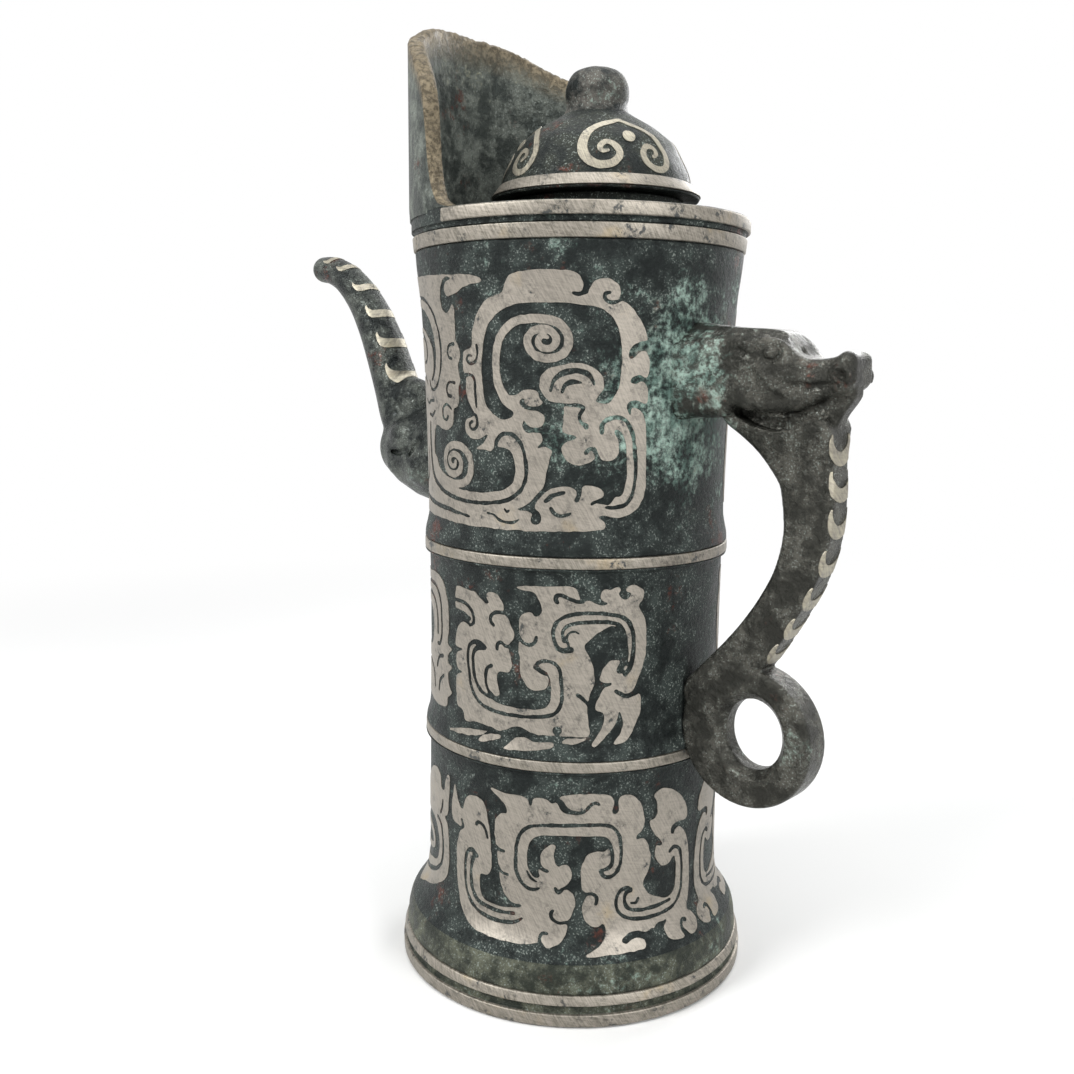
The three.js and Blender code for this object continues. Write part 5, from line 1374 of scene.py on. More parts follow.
    @staticmethod
    def _lines(sheet: Drawing) -> None:
        """Cuts the long inner lines and the small hooks."""
        sheet.cut([
            (-12, 99, 1.3), (-11.4, 100.2, 1.2), (-8.9, 100.8), (-6.6, 100.3), (-5.3, 98.4), (-4.8, 95.2),
            (-4.6, 91.7), (-4.9, 89), (-6.3, 86.6), (-9.2, 85.4), (-19.8, 84.8), (-26.8, 85.6),
            (-30.2, 87.1), (-32.5, 90), (-33.7, 94.6), (-34.2, 99.2), (-33.7, 102.1), (-32, 103.5, 1.2),
            (-29.7, 103.6, 1.7), (-28, 102.6, 1.7),
        ], 1.1)
        sheet.cut([(-9, 97.3), (-10.6, 97.9), (-11.7, 98.9)], 1.2)
        sheet.cut([
            (-24.8, 88.7), (-27.6, 89.4), (-29.6, 90.6), (-31.3, 93.2), (-32.1, 96.9), (-32, 100.3),
            (-30.8, 101.9, 1.4), (-28.6, 102.4, 1.6),
        ], 1.2)
        sheet.cut([
            (-25.4, 97.9), (-26.9, 97.1, 1.2), (-27.4, 95), (-27.2, 92.3), (-26.2, 90.3), (-24.6, 89.2),
        ], 1.1)
        sheet.cut([
            (-2.3, 104.2, 1.6), (-4.4, 103.9, 1.6), (-6, 104.8, 1.4), (-7, 107, 1.2), (-7.2, 109.4),
            (-6, 111.9), (-3.1, 113.6), (0.9, 114.2), (6.1, 114.1), (10.7, 113.3), (13.3, 111.7, 1.2),
            (14.7, 108.8, 1.3), (15.1, 105, 1.3), (14.8, 101.5, 1.3), (14, 98.6, 1.4), (12.8, 97.2, 1.5),
        ], 1.1)
        sheet.cut([
            (-4.2, 106.4, 0.9), (-4.7, 108.7), (-3.6, 110.6), (-0.8, 111.5), (3.2, 111.8), (8.4, 111.6),
            (11.2, 110.4), (12.6, 107.4, 1), (13.1, 103.6, 0.9), (12.9, 100, 1),
        ], 1.1)
        sheet.cut([(-3, 105.6), (-3.6, 107.4), (-2.8, 108.9), (-1.2, 109.2), (-0.2, 108.6)], 0.6)
        for hook in (
            [(-21.3, 113.1), (-24.2, 112.9), (-25.7, 111.7), (-25.7, 110.3), (-24.8, 109.3)],
            [(-19.6, 104), (-21, 103.9), (-22.1, 104.8), (-23.4, 104.2), (-23.6, 102.8)],
            [(-39.8, 114.4), (-36, 114.1), (-33.3, 112.9), (-31.9, 110.6), (-32, 108.8), (-33.4, 108)],
            [(-6, 116.9), (-6.7, 118), (-6.1, 119.1), (-4.6, 119), (-3, 118.1), (-0.8, 117.4), (0.8, 117.3)],
            [(-17.1, 107.6), (-15.9, 105.8), (-14.6, 105), (-12.9, 105.1), (-12, 106.2), (-11.9, 107.3)],
            [(3, 88.8), (1.5, 90.2), (0.4, 91.4), (-0.3, 91.7)],
            [(11, 119.4), (11.6, 118.4), (12.8, 118.3), (13.5, 119.2)],
            [(10.2, 92.6), (11.6, 91.5), (14, 90.9), (16.4, 91.7)],
            [(8.6, 94.7), (7, 94.3), (5.6, 95.2)],
        ):
            sheet.cut(hook, 1.05)
        sheet.cut([(-39.8, 111.3), (-36, 110.9), (-33.4, 109.8)], 1.2)
        sheet.disc((-5.9, 81.7), (1.4, 1.3), silver=False)

    @staticmethod
    def _claws(sheet: Drawing) -> None:
        """Draws the slivers below the dragons."""
        for claw in (
            [(-41.8, 76.3), (-36, 78), (-29, 78.9), (-26.5, 79), (-30, 77.3), (-36, 76.4)],
            [(-29.4, 76), (-27.5, 77.8), (-23.2, 78.8), (-22, 78.3), (-25, 76.8)],
            [
                (-21, 75.4), (-19.5, 76.8), (-17.5, 78.6), (-15, 79), (-12, 78.1), (-6.8, 78.3),
                (-6.7, 77.3), (-10, 76.3), (-16, 75.6),
            ],
            [(-4.6, 78.4), (-3, 79.6), (0.4, 79.6), (2.4, 79.8), (1, 78.8), (-2, 78.1)],
        ):
            sheet.area(claw)

    @staticmethod
    def _neighbour(sheet: Drawing) -> None:
        """Draws the curled limb on the spout's side."""
        sheet.area([
            (-68.2, 118.6), (-60, 119.6), (-52, 120), (-47.5, 118.5), (-44.8, 114.5), (-43.8, 110),
            (-43.8, 104), (-44.4, 100.6), (-41.6, 99.4), (-44, 97.6), (-44.4, 95.4), (-41.9, 94.2),
            (-44, 92), (-43.6, 88.4), (-41.8, 86.6), (-44.4, 84.6), (-44.6, 82.4), (-50, 81.2), (-57, 81.6),
            (-62, 82.2), (-68.2, 82.4),
        ])
        sheet.cut([
            (-69.5, 116), (-58, 116.6), (-52.4, 115.9), (-49.2, 112.8), (-48.3, 108), (-48.3, 102.6),
            (-49.6, 99.6), (-51.6, 99.4),
        ], 1.2)
        sheet.cut([(-69.5, 112.6), (-58.6, 113.2), (-54, 111.6), (-51.8, 108), (-51.4, 102.4)], 1.4)
        sheet.area([
            (-69.5, 109.4), (-60.4, 109.8), (-56.6, 107), (-56, 102), (-57.8, 98.2), (-61.4, 97),
            (-69.5, 97.4),
        ], silver=False)
        sheet.cut([(-47.4, 96.4), (-50.4, 95.4), (-52.2, 92.4)], 1.1)
        sheet.cut([(-47, 90.6), (-49.6, 88.6), (-50.6, 85.6)], 1.1)
        sheet.cut([(-69.5, 92), (-60, 92.4), (-55.6, 90), (-54.4, 86)], 1.3)


@dataclass(frozen=True)
class LowerPanel:
    """Lower tier: three dragons in a row."""

    low: tuple[float, float] = (-69.5, 17.5)
    high: tuple[float, float] = (38.5, 66.5)

    def draw(self) -> Drawing:
        """Draws the tier."""
        sheet = Drawing(self.low, self.high)
        sheet.area([
            (-39.8, 60.6), (-39, 58.6), (-38.2, 56), (-37, 54.2), (-35.8, 54), (-35.4, 55.6), (-34.8, 57.4),
            (-33.2, 58.8), (-31.4, 59.2), (-29, 58.9), (-27.4, 57.4), (-26.4, 54.4), (-25.7, 51),
            (-25.3, 47), (-24.9, 42), (-25, 39.4), (-26.3, 37), (-28.8, 36.6), (-29, 34), (-28.6, 31.4),
            (-27.4, 29.8), (-25.6, 29.2), (-17.7, 29.3), (-14.8, 30.6), (-16.8, 30.7), (-18.8, 31.3),
            (-20.4, 32.8), (-21.6, 35.4), (-22.4, 39), (-22.9, 42.6), (-23.2, 46), (-23.8, 49.4),
            (-23.9, 52), (-23.4, 54.6), (-22, 56.2), (-20, 56.6), (-20, 58.2), (-21, 59.4), (-23, 61),
            (-25.3, 62.9), (-20, 62.3), (-15.4, 62.3), (-13.8, 61.6), (-13, 59.6), (-12.3, 61.6),
            (-11.5, 62.3), (-8, 61.9), (-7.2, 61), (-6.1, 61.4), (-4.3, 63.3), (0, 63.9), (6.9, 63.8),
            (9.2, 63), (10.2, 61.4), (9.8, 59.4), (9.7, 58.2), (10.8, 57.8), (11.6, 58.8), (11.3, 60.8),
            (11.7, 62.4), (13, 63), (15.6, 62.6), (17.4, 61), (18.7, 58.4), (19.3, 55.6), (19.2, 53.4),
            (18.4, 52), (17, 51.2), (16.7, 49.6), (17.9, 49.8), (19.4, 49.6), (20.6, 47.6), (21.4, 44.6),
            (21.4, 42), (20.6, 39.4), (19.3, 36.7), (20, 34.4), (21.8, 32.6), (24.5, 31.4), (27.4, 30.4),
            (29.4, 31), (30.6, 33), (31, 36.4), (30.9, 40), (30, 42.4), (28.4, 41), (27, 40.2),
            (25.3, 40.6), (23.8, 42.4), (23, 44.8), (23.4, 47), (24.6, 46.4), (25.6, 46.8), (24.7, 48.2),
            (23.4, 49.6), (21.8, 52), (21, 54.6), (22.6, 54.8), (23.6, 56.6), (23.2, 59.8), (22.4, 61.6),
            (24.4, 63), (26.8, 63), (30, 61.6), (33, 58.8), (34.8, 56), (35.4, 52.8), (34.2, 51.9),
            (30.4, 52), (28.6, 50.8), (28.6, 49.2), (30, 48.7), (30, 49.8), (31.6, 50.4), (33.6, 49.2),
            (35.2, 46.4), (36.2, 43), (36.8, 39), (36.9, 33.4), (36.4, 29), (35.4, 26), (35.2, 24.4),
            (36.4, 23.8), (37.6, 22), (37.3, 20.2), (35.8, 19.1), (33.4, 19), (32, 20.4), (31.2, 19.2),
            (28, 19), (26, 19.8), (25, 21.6), (25.3, 23.2), (26.4, 24), (25.4, 24.4), (23.4, 24.2),
            (21.6, 22.8), (19.2, 22.4), (17, 23.2), (14.8, 22.9), (12.8, 21.6), (13.4, 20.6), (14.6, 21.6),
            (16.6, 21.9), (18.6, 21), (18.4, 19.4), (16, 19.2), (8, 18.9), (2, 18.9), (4.6, 20.2),
            (6.4, 21.2), (7.7, 22.8), (8, 25), (7.3, 26.8), (6.2, 25.9), (5, 25.8), (3.4, 26.4), (2.2, 28),
            (1.6, 30.6), (2, 33), (2.9, 35), (1.6, 36.4), (1.3, 38.6), (1.2, 42), (1.8, 44.6), (3.4, 46.8),
            (5.4, 47.4), (7.6, 47.2), (9, 48.6), (9.3, 50.2), (8, 51.6), (4, 51.9), (-2, 52), (-8.7, 51.8),
            (-11.4, 51.2), (-13.2, 49.2), (-13.9, 46), (-13.9, 43), (-13, 40.6), (-11.6, 39.2),
            (-10.2, 39.6), (-10.6, 41.4), (-10.4, 44.6), (-9.2, 47.4), (-7, 49.4), (-5.8, 49), (-6.3, 46.6),
            (-6, 43.8), (-5, 42.8), (-4, 43.5), (-2.6, 43.6), (-1.6, 42.2), (-1.4, 40.2), (-2.4, 38),
            (-4, 36.6), (-2.4, 36.4), (-0.9, 35), (-0.4, 32.6), (-0.9, 30), (-1.7, 28.2), (-2.6, 27.2),
            (-2.4, 25.6), (-3, 23.6), (-4.2, 21.8), (-5.6, 20.9), (-7.8, 20.6), (-9, 21.6), (-10.4, 21.4),
            (-12.4, 20.8), (-19, 20.5), (-27.3, 20.9), (-31.4, 21.9), (-34.4, 23.8), (-36.6, 26.8),
            (-37.9, 30.4), (-38.6, 34.6), (-38.8, 39), (-38.4, 43), (-37.4, 46.4), (-36.6, 47.8),
            (-38.2, 48.8), (-40.2, 49.2), (-41.2, 51.6), (-40.9, 56),
        ])
        self._lines(sheet)
        self._neighbour(sheet)
        return sheet.nick(13)

    @staticmethod
    def _lines(sheet: Drawing) -> None:
        """Cuts the long inner lines and the small hooks."""
        sheet.cut([
            (-10.2, 36.3, 0.8), (-12.4, 35.6, 1), (-15, 36.8), (-16.8, 39.6), (-17.2, 43.6), (-17, 48),
            (-15.8, 51.6), (-13.6, 53.6), (-9.4, 54.6), (-2, 55), (5, 55.1), (9, 54.6), (11.2, 52.6),
            (12.2, 49), (12.3, 44.4), (11.4, 41.4, 1.2), (9.4, 39.9, 1.2), (7.4, 40.2, 1.2), (6.6, 41.8),
        ], 1.1)
        sheet.cut([(9.2, 49.4), (9.8, 46.4), (9.7, 43.4, 1.2), (8.4, 42.2, 1.2), (6.8, 42)], 1.1)
        sheet.cut([(-9.3, 49.4, 0.8), (-10.6, 46.6), (-10.5, 43.6), (-9.4, 41.8), (-8, 41.4, 0.9)], 1.2)
        sheet.cut([(-13.9, 40.9, 0.7), (-12.6, 38.8, 0.8), (-11, 38, 0.8)])
        sheet.cut([
            (-30.2, 41.6, 1.4), (-32, 42.9, 1.4), (-33.6, 42.2, 1.2), (-34.6, 39.8), (-34.8, 35),
            (-34.2, 31), (-32.2, 27.8), (-29.4, 26), (-25, 25), (-19.6, 25), (-16.6, 25.7, 1),
            (-15, 26.9, 0.7),
        ], 1.1)
        sheet.cut([
            (-31, 41.4, 1.5), (-32.2, 38.6), (-32.3, 34.6), (-31.6, 31, 1.3), (-29.6, 28.8, 1.4),
            (-26.4, 27.9), (-21.4, 27.5, 1.1), (-17.4, 27.9, 0.9),
        ], 1.2)
        sheet.cut([
            (15.6, 34.9, 1), (14.6, 36.1, 1.2), (12.6, 35.6, 1.2), (11.3, 33.6), (11.2, 30.8), (12.8, 28.2),
            (16, 26.9), (21, 26.4), (26.6, 26.7), (30.6, 28), (32.8, 30.8), (33.4, 35.4), (33.2, 40),
            (32.2, 43.6, 1.2), (30, 44.9, 1.3), (28.4, 44, 1.3),
        ], 1.1)
        sheet.cut([
            (15.5, 35.6, 0.9), (13.9, 34.4), (13.6, 32), (14.8, 29.9), (18, 29), (24, 29), (28.6, 29.6, 1),
        ], 1.1)
        sheet.cut([(17.7, 32.4, 0.9), (17, 31.2, 0.9), (15.6, 31.4, 0.8)])
        sheet.cut([
            (-4.8, 61.6, 1.8), (-3.6, 59.6, 2), (-1, 58.7, 1.2), (1.8, 59, 1.1), (3.6, 60.8, 1.1),
            (5, 61.4, 1), (6, 60.9, 0.8),
        ])
        for hook in (
            [(-30.4, 51), (-29.4, 52), (-27.8, 51.2), (-26.8, 49.6), (-26.3, 48)],
            [(-36.4, 50.6), (-35.7, 49), (-36.8, 47.8)],
            [(-23.1, 46.2), (-22, 45.4), (-20.9, 45.3)],
            [(-23, 40.8), (-21.4, 39), (-19.6, 38.7)],
            [(-8.8, 20.6), (-9.8, 22.4), (-9, 23.8), (-7.8, 23.7)],
            [(-2.2, 27), (-5, 26.8), (-6.8, 28), (-6.9, 29.6), (-6.3, 30.2)],
            [(-4, 36.5), (-5, 35.2), (-5.8, 36.6)],
            [(2.8, 35), (4.4, 35.2), (5.6, 34), (5.4, 32.2)],
            [(12.7, 21.6), (14.4, 22.8), (17.2, 23), (19.4, 22.4), (21.6, 22.9)],
            [(32, 19), (31.2, 21), (32.2, 22.8), (33.6, 22.4)],
            [(26.4, 24.2), (25, 22.6), (25.2, 20.8)],
        ):
            sheet.cut(hook, 1.0)

    @staticmethod
    def _neighbour(sheet: Drawing) -> None:
        """Draws the curled limb on the spout's side."""
        sheet.area([
            (-68.2, 50), (-64, 54), (-59, 58.6), (-54, 61.2), (-50.6, 61.4), (-48.6, 59.6), (-47.9, 56.6),
            (-46, 56.4), (-45.2, 59.4), (-44, 61.6), (-43, 61.8), (-42.6, 58), (-43.2, 53.6), (-43.8, 49.6),
            (-45.6, 48.4), (-44.2, 47.2), (-43.4, 44), (-43, 39), (-43.2, 33), (-45, 29.4), (-49, 26.4),
            (-54, 24), (-60, 22.2), (-68.2, 20.6),
        ])
        sheet.cut([(-46.8, 53), (-47.4, 50.4), (-48.6, 48.6)], 1.0)
        sheet.cut([
            (-50.8, 46.6, 1.4), (-48.2, 45.4, 1.3), (-47, 42), (-46.8, 37), (-48, 33), (-52, 29.8, 1.3),
            (-58, 27.6, 1.4), (-69.5, 25, 1.6),
        ], 1.2)
        sheet.area([
            (-69.5, 44), (-60, 45.6), (-54, 45.4), (-50.4, 42), (-49.6, 37), (-51.2, 33.4), (-56, 31.6),
            (-69.5, 29.6),
        ], silver=False)
        sheet.stroke([
            (-69.5, 40.6, 2.4), (-60, 41, 2.3), (-55.4, 39.4, 2.2), (-54.6, 36.6, 2), (-58, 35, 1.8),
            (-69.5, 34.2, 1.8),
        ])


# Turned and swept shells


def skin_rings(rings: Sequence[Array], ends: bool) -> tuple[Array, list[list[int]]]:
    """Joins closed rings of the same count into one closed mesh.

    Args:
        rings: Points of each ring, in order.
        ends: Whether the first and last ring are closed with a face; otherwise they join.

    Returns:
        Corner points and faces.
    """
    count, size = len(rings), len(rings[0])
    faces = []
    for i in range(count - 1 if ends else count):
        here, there = i * size, (i + 1) % count * size
        for k in range(size):
            after = (k + 1) % size
            faces.append([here + k, here + after, there + after, there + k])
    if ends:
        faces.append(list(range(size)))
        faces.append(list(range((count - 1) * size, count * size)))
    return np.vstack(rings), faces


def arc(profile: Array, angles: Array) -> list[Array]:
    """Stands a (radius, height) profile at each angle in degrees from the spout's side."""
    rings = []
    for angle in np.radians(angles):
        rings.append(np.column_stack(
            [-profile[:, 0] * math.cos(angle), profile[:, 0] * math.sin(angle), profile[:, 1]]
        ))
    return rings


@dataclass(frozen=True)
class Body:
    """Tapered wall with its seat for the lid, its foot and the plain silver bands."""

    outer: Path = (
        (49.6, 17.05, 0.5), (47, 20.6, 1.5), (45.3, 23.5, 1.5), (44.6, 27, 1.5), (44.3, 30, 1), (44.1, 36, 2),
        (44.1, 47), (44, 60), (43.9, 69.1, 0.3), (45.3, 69.7, 0.5), (45.3, 70.05, 0.1), (44.3, 70.1),
        (44.3, 73.3), (45.1, 73.4, 0.2), (44.9, 75, 0.8), (44.2, 77, 1), (43.8, 79.5, 1), (43.6, 83, 2),
        (43.5, 97), (43.5, 110), (43.6, 120), (43.7, 125, 0.4), (45.1, 125.6, 0.5), (45.1, 126.05, 0.1),
        (44.3, 126.1), (44.3, 129.4), (45.1, 129.5, 0.2), (45, 131.5, 0.9), (44.4, 134, 1), (43.9, 136.5, 1),
        (43.8, 140, 2), (44, 152), (44.3, 164), (45, 183), (45.9, 198, 4), (47, 206, 2), (47.4, 210.8, 0.2),
        (46.9, 211), (47.3, 215.1), (47.7, 215.2, 0.2), (47.7, 216.4, 0.3), (48.5, 216.5), (48.5, 220.3, 0.6),
    )
    inner: Path = (
        (44.3, 220.3, 0.6), (44.3, 214), (42.7, 214), (42.9, 198), (41.3, 164), (40.5, 104), (41.1, 34),
        (41.1, 20.3), (42.7, 20.3), (42.7, 17.1),
    )
    foot: Path = (
        (51.9, 0.12, 0.4), (51.9, 4.1, 0.3), (51.5, 4.3), (51, 6.1), (51, 9.1, 0.2), (51.3, 9.4, 0.4),
        (51.1, 11.5, 1), (50.9, 13.7, 1), (50.4, 15.6, 1), (49.6, 17), (38, 17), (38, 12.5, 2),
        (43.5, 7, 2), (46.5, 0.12, 0.6),
    )
    bands: tuple[tuple[str, Path], ...] = (
        ("foot_band_lower", ((51.8, 0.4), (52.6, 0.5, 0.3), (52.7, 3.9, 0.3), (51.8, 4))),
        ("foot_band_upper", ((50.9, 6.2), (52.4, 6.4, 0.4), (51.6, 8.9, 0.3), (50.9, 9))),
        ("ring_band_lower", ((44.2, 70.1), (45.2, 70.2, 0.4), (45.2, 73.1, 0.4), (44.2, 73.2))),
        ("ring_band_upper", ((44.2, 126.1), (45.2, 126.2, 0.4), (45.2, 129.1, 0.4), (44.2, 129.2))),
        ("rim_band", ((46.8, 211.1), (47.85, 211.2, 0.3), (48.25, 214.9, 0.3), (47.2, 215))),
    )
    lip: Path = ((48.4, 216.6), (49.1, 216.7, 0.3), (49.1, 220, 0.5), (48.4, 220.2))
    lip_gap: float = 82.0
    seat_centre: float = 6.0
    seat: tuple[tuple[float, float, bool], ...] = (
        (44.25, 217.1, False), (25.6, 217.1, True), (24.8, 217.9, True), (24.6, 224.9, True),
        (24.2, 225.3, True), (22.3, 225.3, True), (22, 225, True), (22, 214.1, True), (44.25, 214.1, False),
    )

    def radius(self, height: Array) -> Array:
        """Radius of the wall at a height."""
        rows = fillet(self.outer, closed=False)
        return np.interp(height, rows[:, 1], rows[:, 0])

    def build(self, shop: Workshop, lathe: Lathe, finishes: Finishes) -> None:
        """Builds and dresses the wall, the foot, the lid's seat and the bands."""
        wall = np.vstack([fillet(self.outer, closed=False), fillet(self.inner, closed=False)])
        piece = lathe.turn("wall", wall, finishes.body, segments=300, wear=0.32, seed=3)
        shop.dress(piece, finishes.body, Slot.BRONZE, VESSEL, ["body_shell"])
        piece = lathe.turn("foot", fillet(self.foot), finishes.foot, wear=0.3, wear_scale=120, seed=4)
        shop.dress(piece, finishes.foot, Slot.BRONZE, VESSEL, ["foot_ring"])
        for number, (node, profile) in enumerate(self.bands):
            piece = lathe.turn(
                node + ".silver", fillet(profile), finishes.band, segments=300, wear=0.22, seed=20 + number
            )
            shop.dress(piece, finishes.band, Slot.SILVER, VESSEL, [node])
        angles = np.linspace(self.lip_gap, 360 - self.lip_gap, 240)
        piece = shop.mesh("lip.silver", *skin_rings(arc(fillet(self.lip), angles), ends=True))
        shop.dress(piece, finishes.band, Slot.SILVER, VESSEL, ["lip_band"])
        self._build_seat(shop, finishes)

    def _build_seat(self, shop: Workshop, finishes: Finishes) -> None:
        """Builds the plate across the mouth, with the collar that the lid drops into."""
        turn = np.linspace(0, 2 * math.pi, 180, endpoint=False)
        rings = []
        for radius, height, shifted in self.seat:
            middle = self.seat_centre if shifted else 0.0
            rings.append(np.column_stack(
                [middle + radius * np.cos(turn), radius * np.sin(turn), np.full(len(turn), height)]
            ))
        piece = shop.mesh("mouth_seat", *skin_rings(rings, ends=False))
        shop.dress(piece, finishes.lid, Slot.BRONZE, VESSEL, ["mouth_plate"])


@dataclass(frozen=True)
class Crest:
    """Tall pouring crest on the spout's side, thick and corroded along its edge."""

    edge: Path = (
        (0, 279.7), (10, 279.7), (24, 277.6), (33, 274.6), (41, 272), (50, 269), (56, 266), (61, 263),
        (65.5, 259.5), (69, 255), (71, 250), (72.3, 242), (73.6, 234), (76, 227.5), (79, 223.6),
        (82.5, 221.6), (86, 220.6),
    )
    inner: float = 44.3
    base: float = 48.5
    top: float = 49.2
    foot: float = 219.6
    lip_top: float = 221.0
    steps: int = 14
    wear: float = 0.55

    def build(self, shop: Workshop, finishes: Finishes) -> None:
        """Builds and dresses the crest."""
        half = smooth(self.edge, 0.8)
        edge = np.vstack([half[::-1] * (-1, 1), half[1:]])
        knots = np.random.default_rng(31).uniform(-1, 1, (len(edge), 3))
        soft = sum(np.roll(knots, shift, axis=0) for shift in (-2, -1, 0, 1, 2)) / 2.2
        rings = []
        for number, (angle, height) in enumerate(edge):
            rise = height - self.foot
            swell, dip, lean = soft[number] * self.wear * min(1.0, rise / 20)
            high = height - abs(dip) * 0.8
            outer = self.base + (self.top - self.base) * rise / 60
            thick = min(1.5, 0.4 * rise)
            rows = []
            for share in np.arange(self.steps) / self.steps:
                inset = 0.0 if self.foot + rise * share > self.lip_top else 0.2
                rows.append((outer - inset, self.foot + (rise - thick) * share))
            rows += [(outer + swell * 0.25, high - thick), (outer - 0.35 + swell * 0.3, high - 0.45 * thick),
                     (outer - 1.2 + lean * 0.3, high - 0.1 * thick), (self.inner + 1.3 + lean * 0.3, high),
                     (self.inner + 0.35 + swell * 0.3, high - 0.5 * thick), (self.inner, high - 1.1 * thick)]
            rows += [(self.inner, self.foot + (rise - 1.2 * thick) * k / self.steps)
                     for k in range(self.steps - 1, -1, -1)]
            rings.append(arc(np.array(rows), np.array([angle]))[0])
        piece = shop.mesh("crest", *skin_rings(rings, ends=True))
        share = np.tile(np.interp(np.arange(len(rings[0])), (12, 14, 19, 21), (0, 1, 1, 0)), len(rings))
        marks = piece.data.attributes.new("edge", "FLOAT", "POINT")
        marks.data.foreach_set("value", share.astype(np.float32))
        shop.dress(piece, finishes.crest, Slot.BRONZE, VESSEL, ["pouring_crest"])


@dataclass(frozen=True)
class Inlay:
    """Dragon panels laid on both sides of the wall in three tiers."""

    plate: Plate = Plate()
    seam: float = -48.0
    lower_turn: float = 3.8

    def build(self, shop: Workshop, body: Body, finishes: Finishes) -> None:
        """Builds and dresses the six panels."""
        tiers = {"upper": UpperPanel().draw(), "middle": MiddlePanel().draw(), "lower": LowerPanel().draw()}
        for tier, sheet in tiers.items():
            for side in Side:
                def place(
                    across: Array, along: Array, height: Array, tier: str = tier, side: Side = side
                ) -> Array:
                    """Bends the flat sheet round the wall."""
                    turn = np.radians(self.seam) + across / WALL_RADIUS
                    if side is Side.FAR:
                        turn = (math.radians(self.lower_turn) if tier == "lower" else 0.0) - turn
                    radius = body.radius(along) + height
                    return np.column_stack([radius * np.cos(turn), radius * np.sin(turn), along])

                piece = shop.mesh(f"dragons_{tier}_{side.name.lower()}", *self.plate.lay(sheet, place))
                node = f"dragon_inlay_{tier}_{side.name.lower()}"
                shop.dress(piece, finishes.inlay, Slot.SILVER, VESSEL, [node])


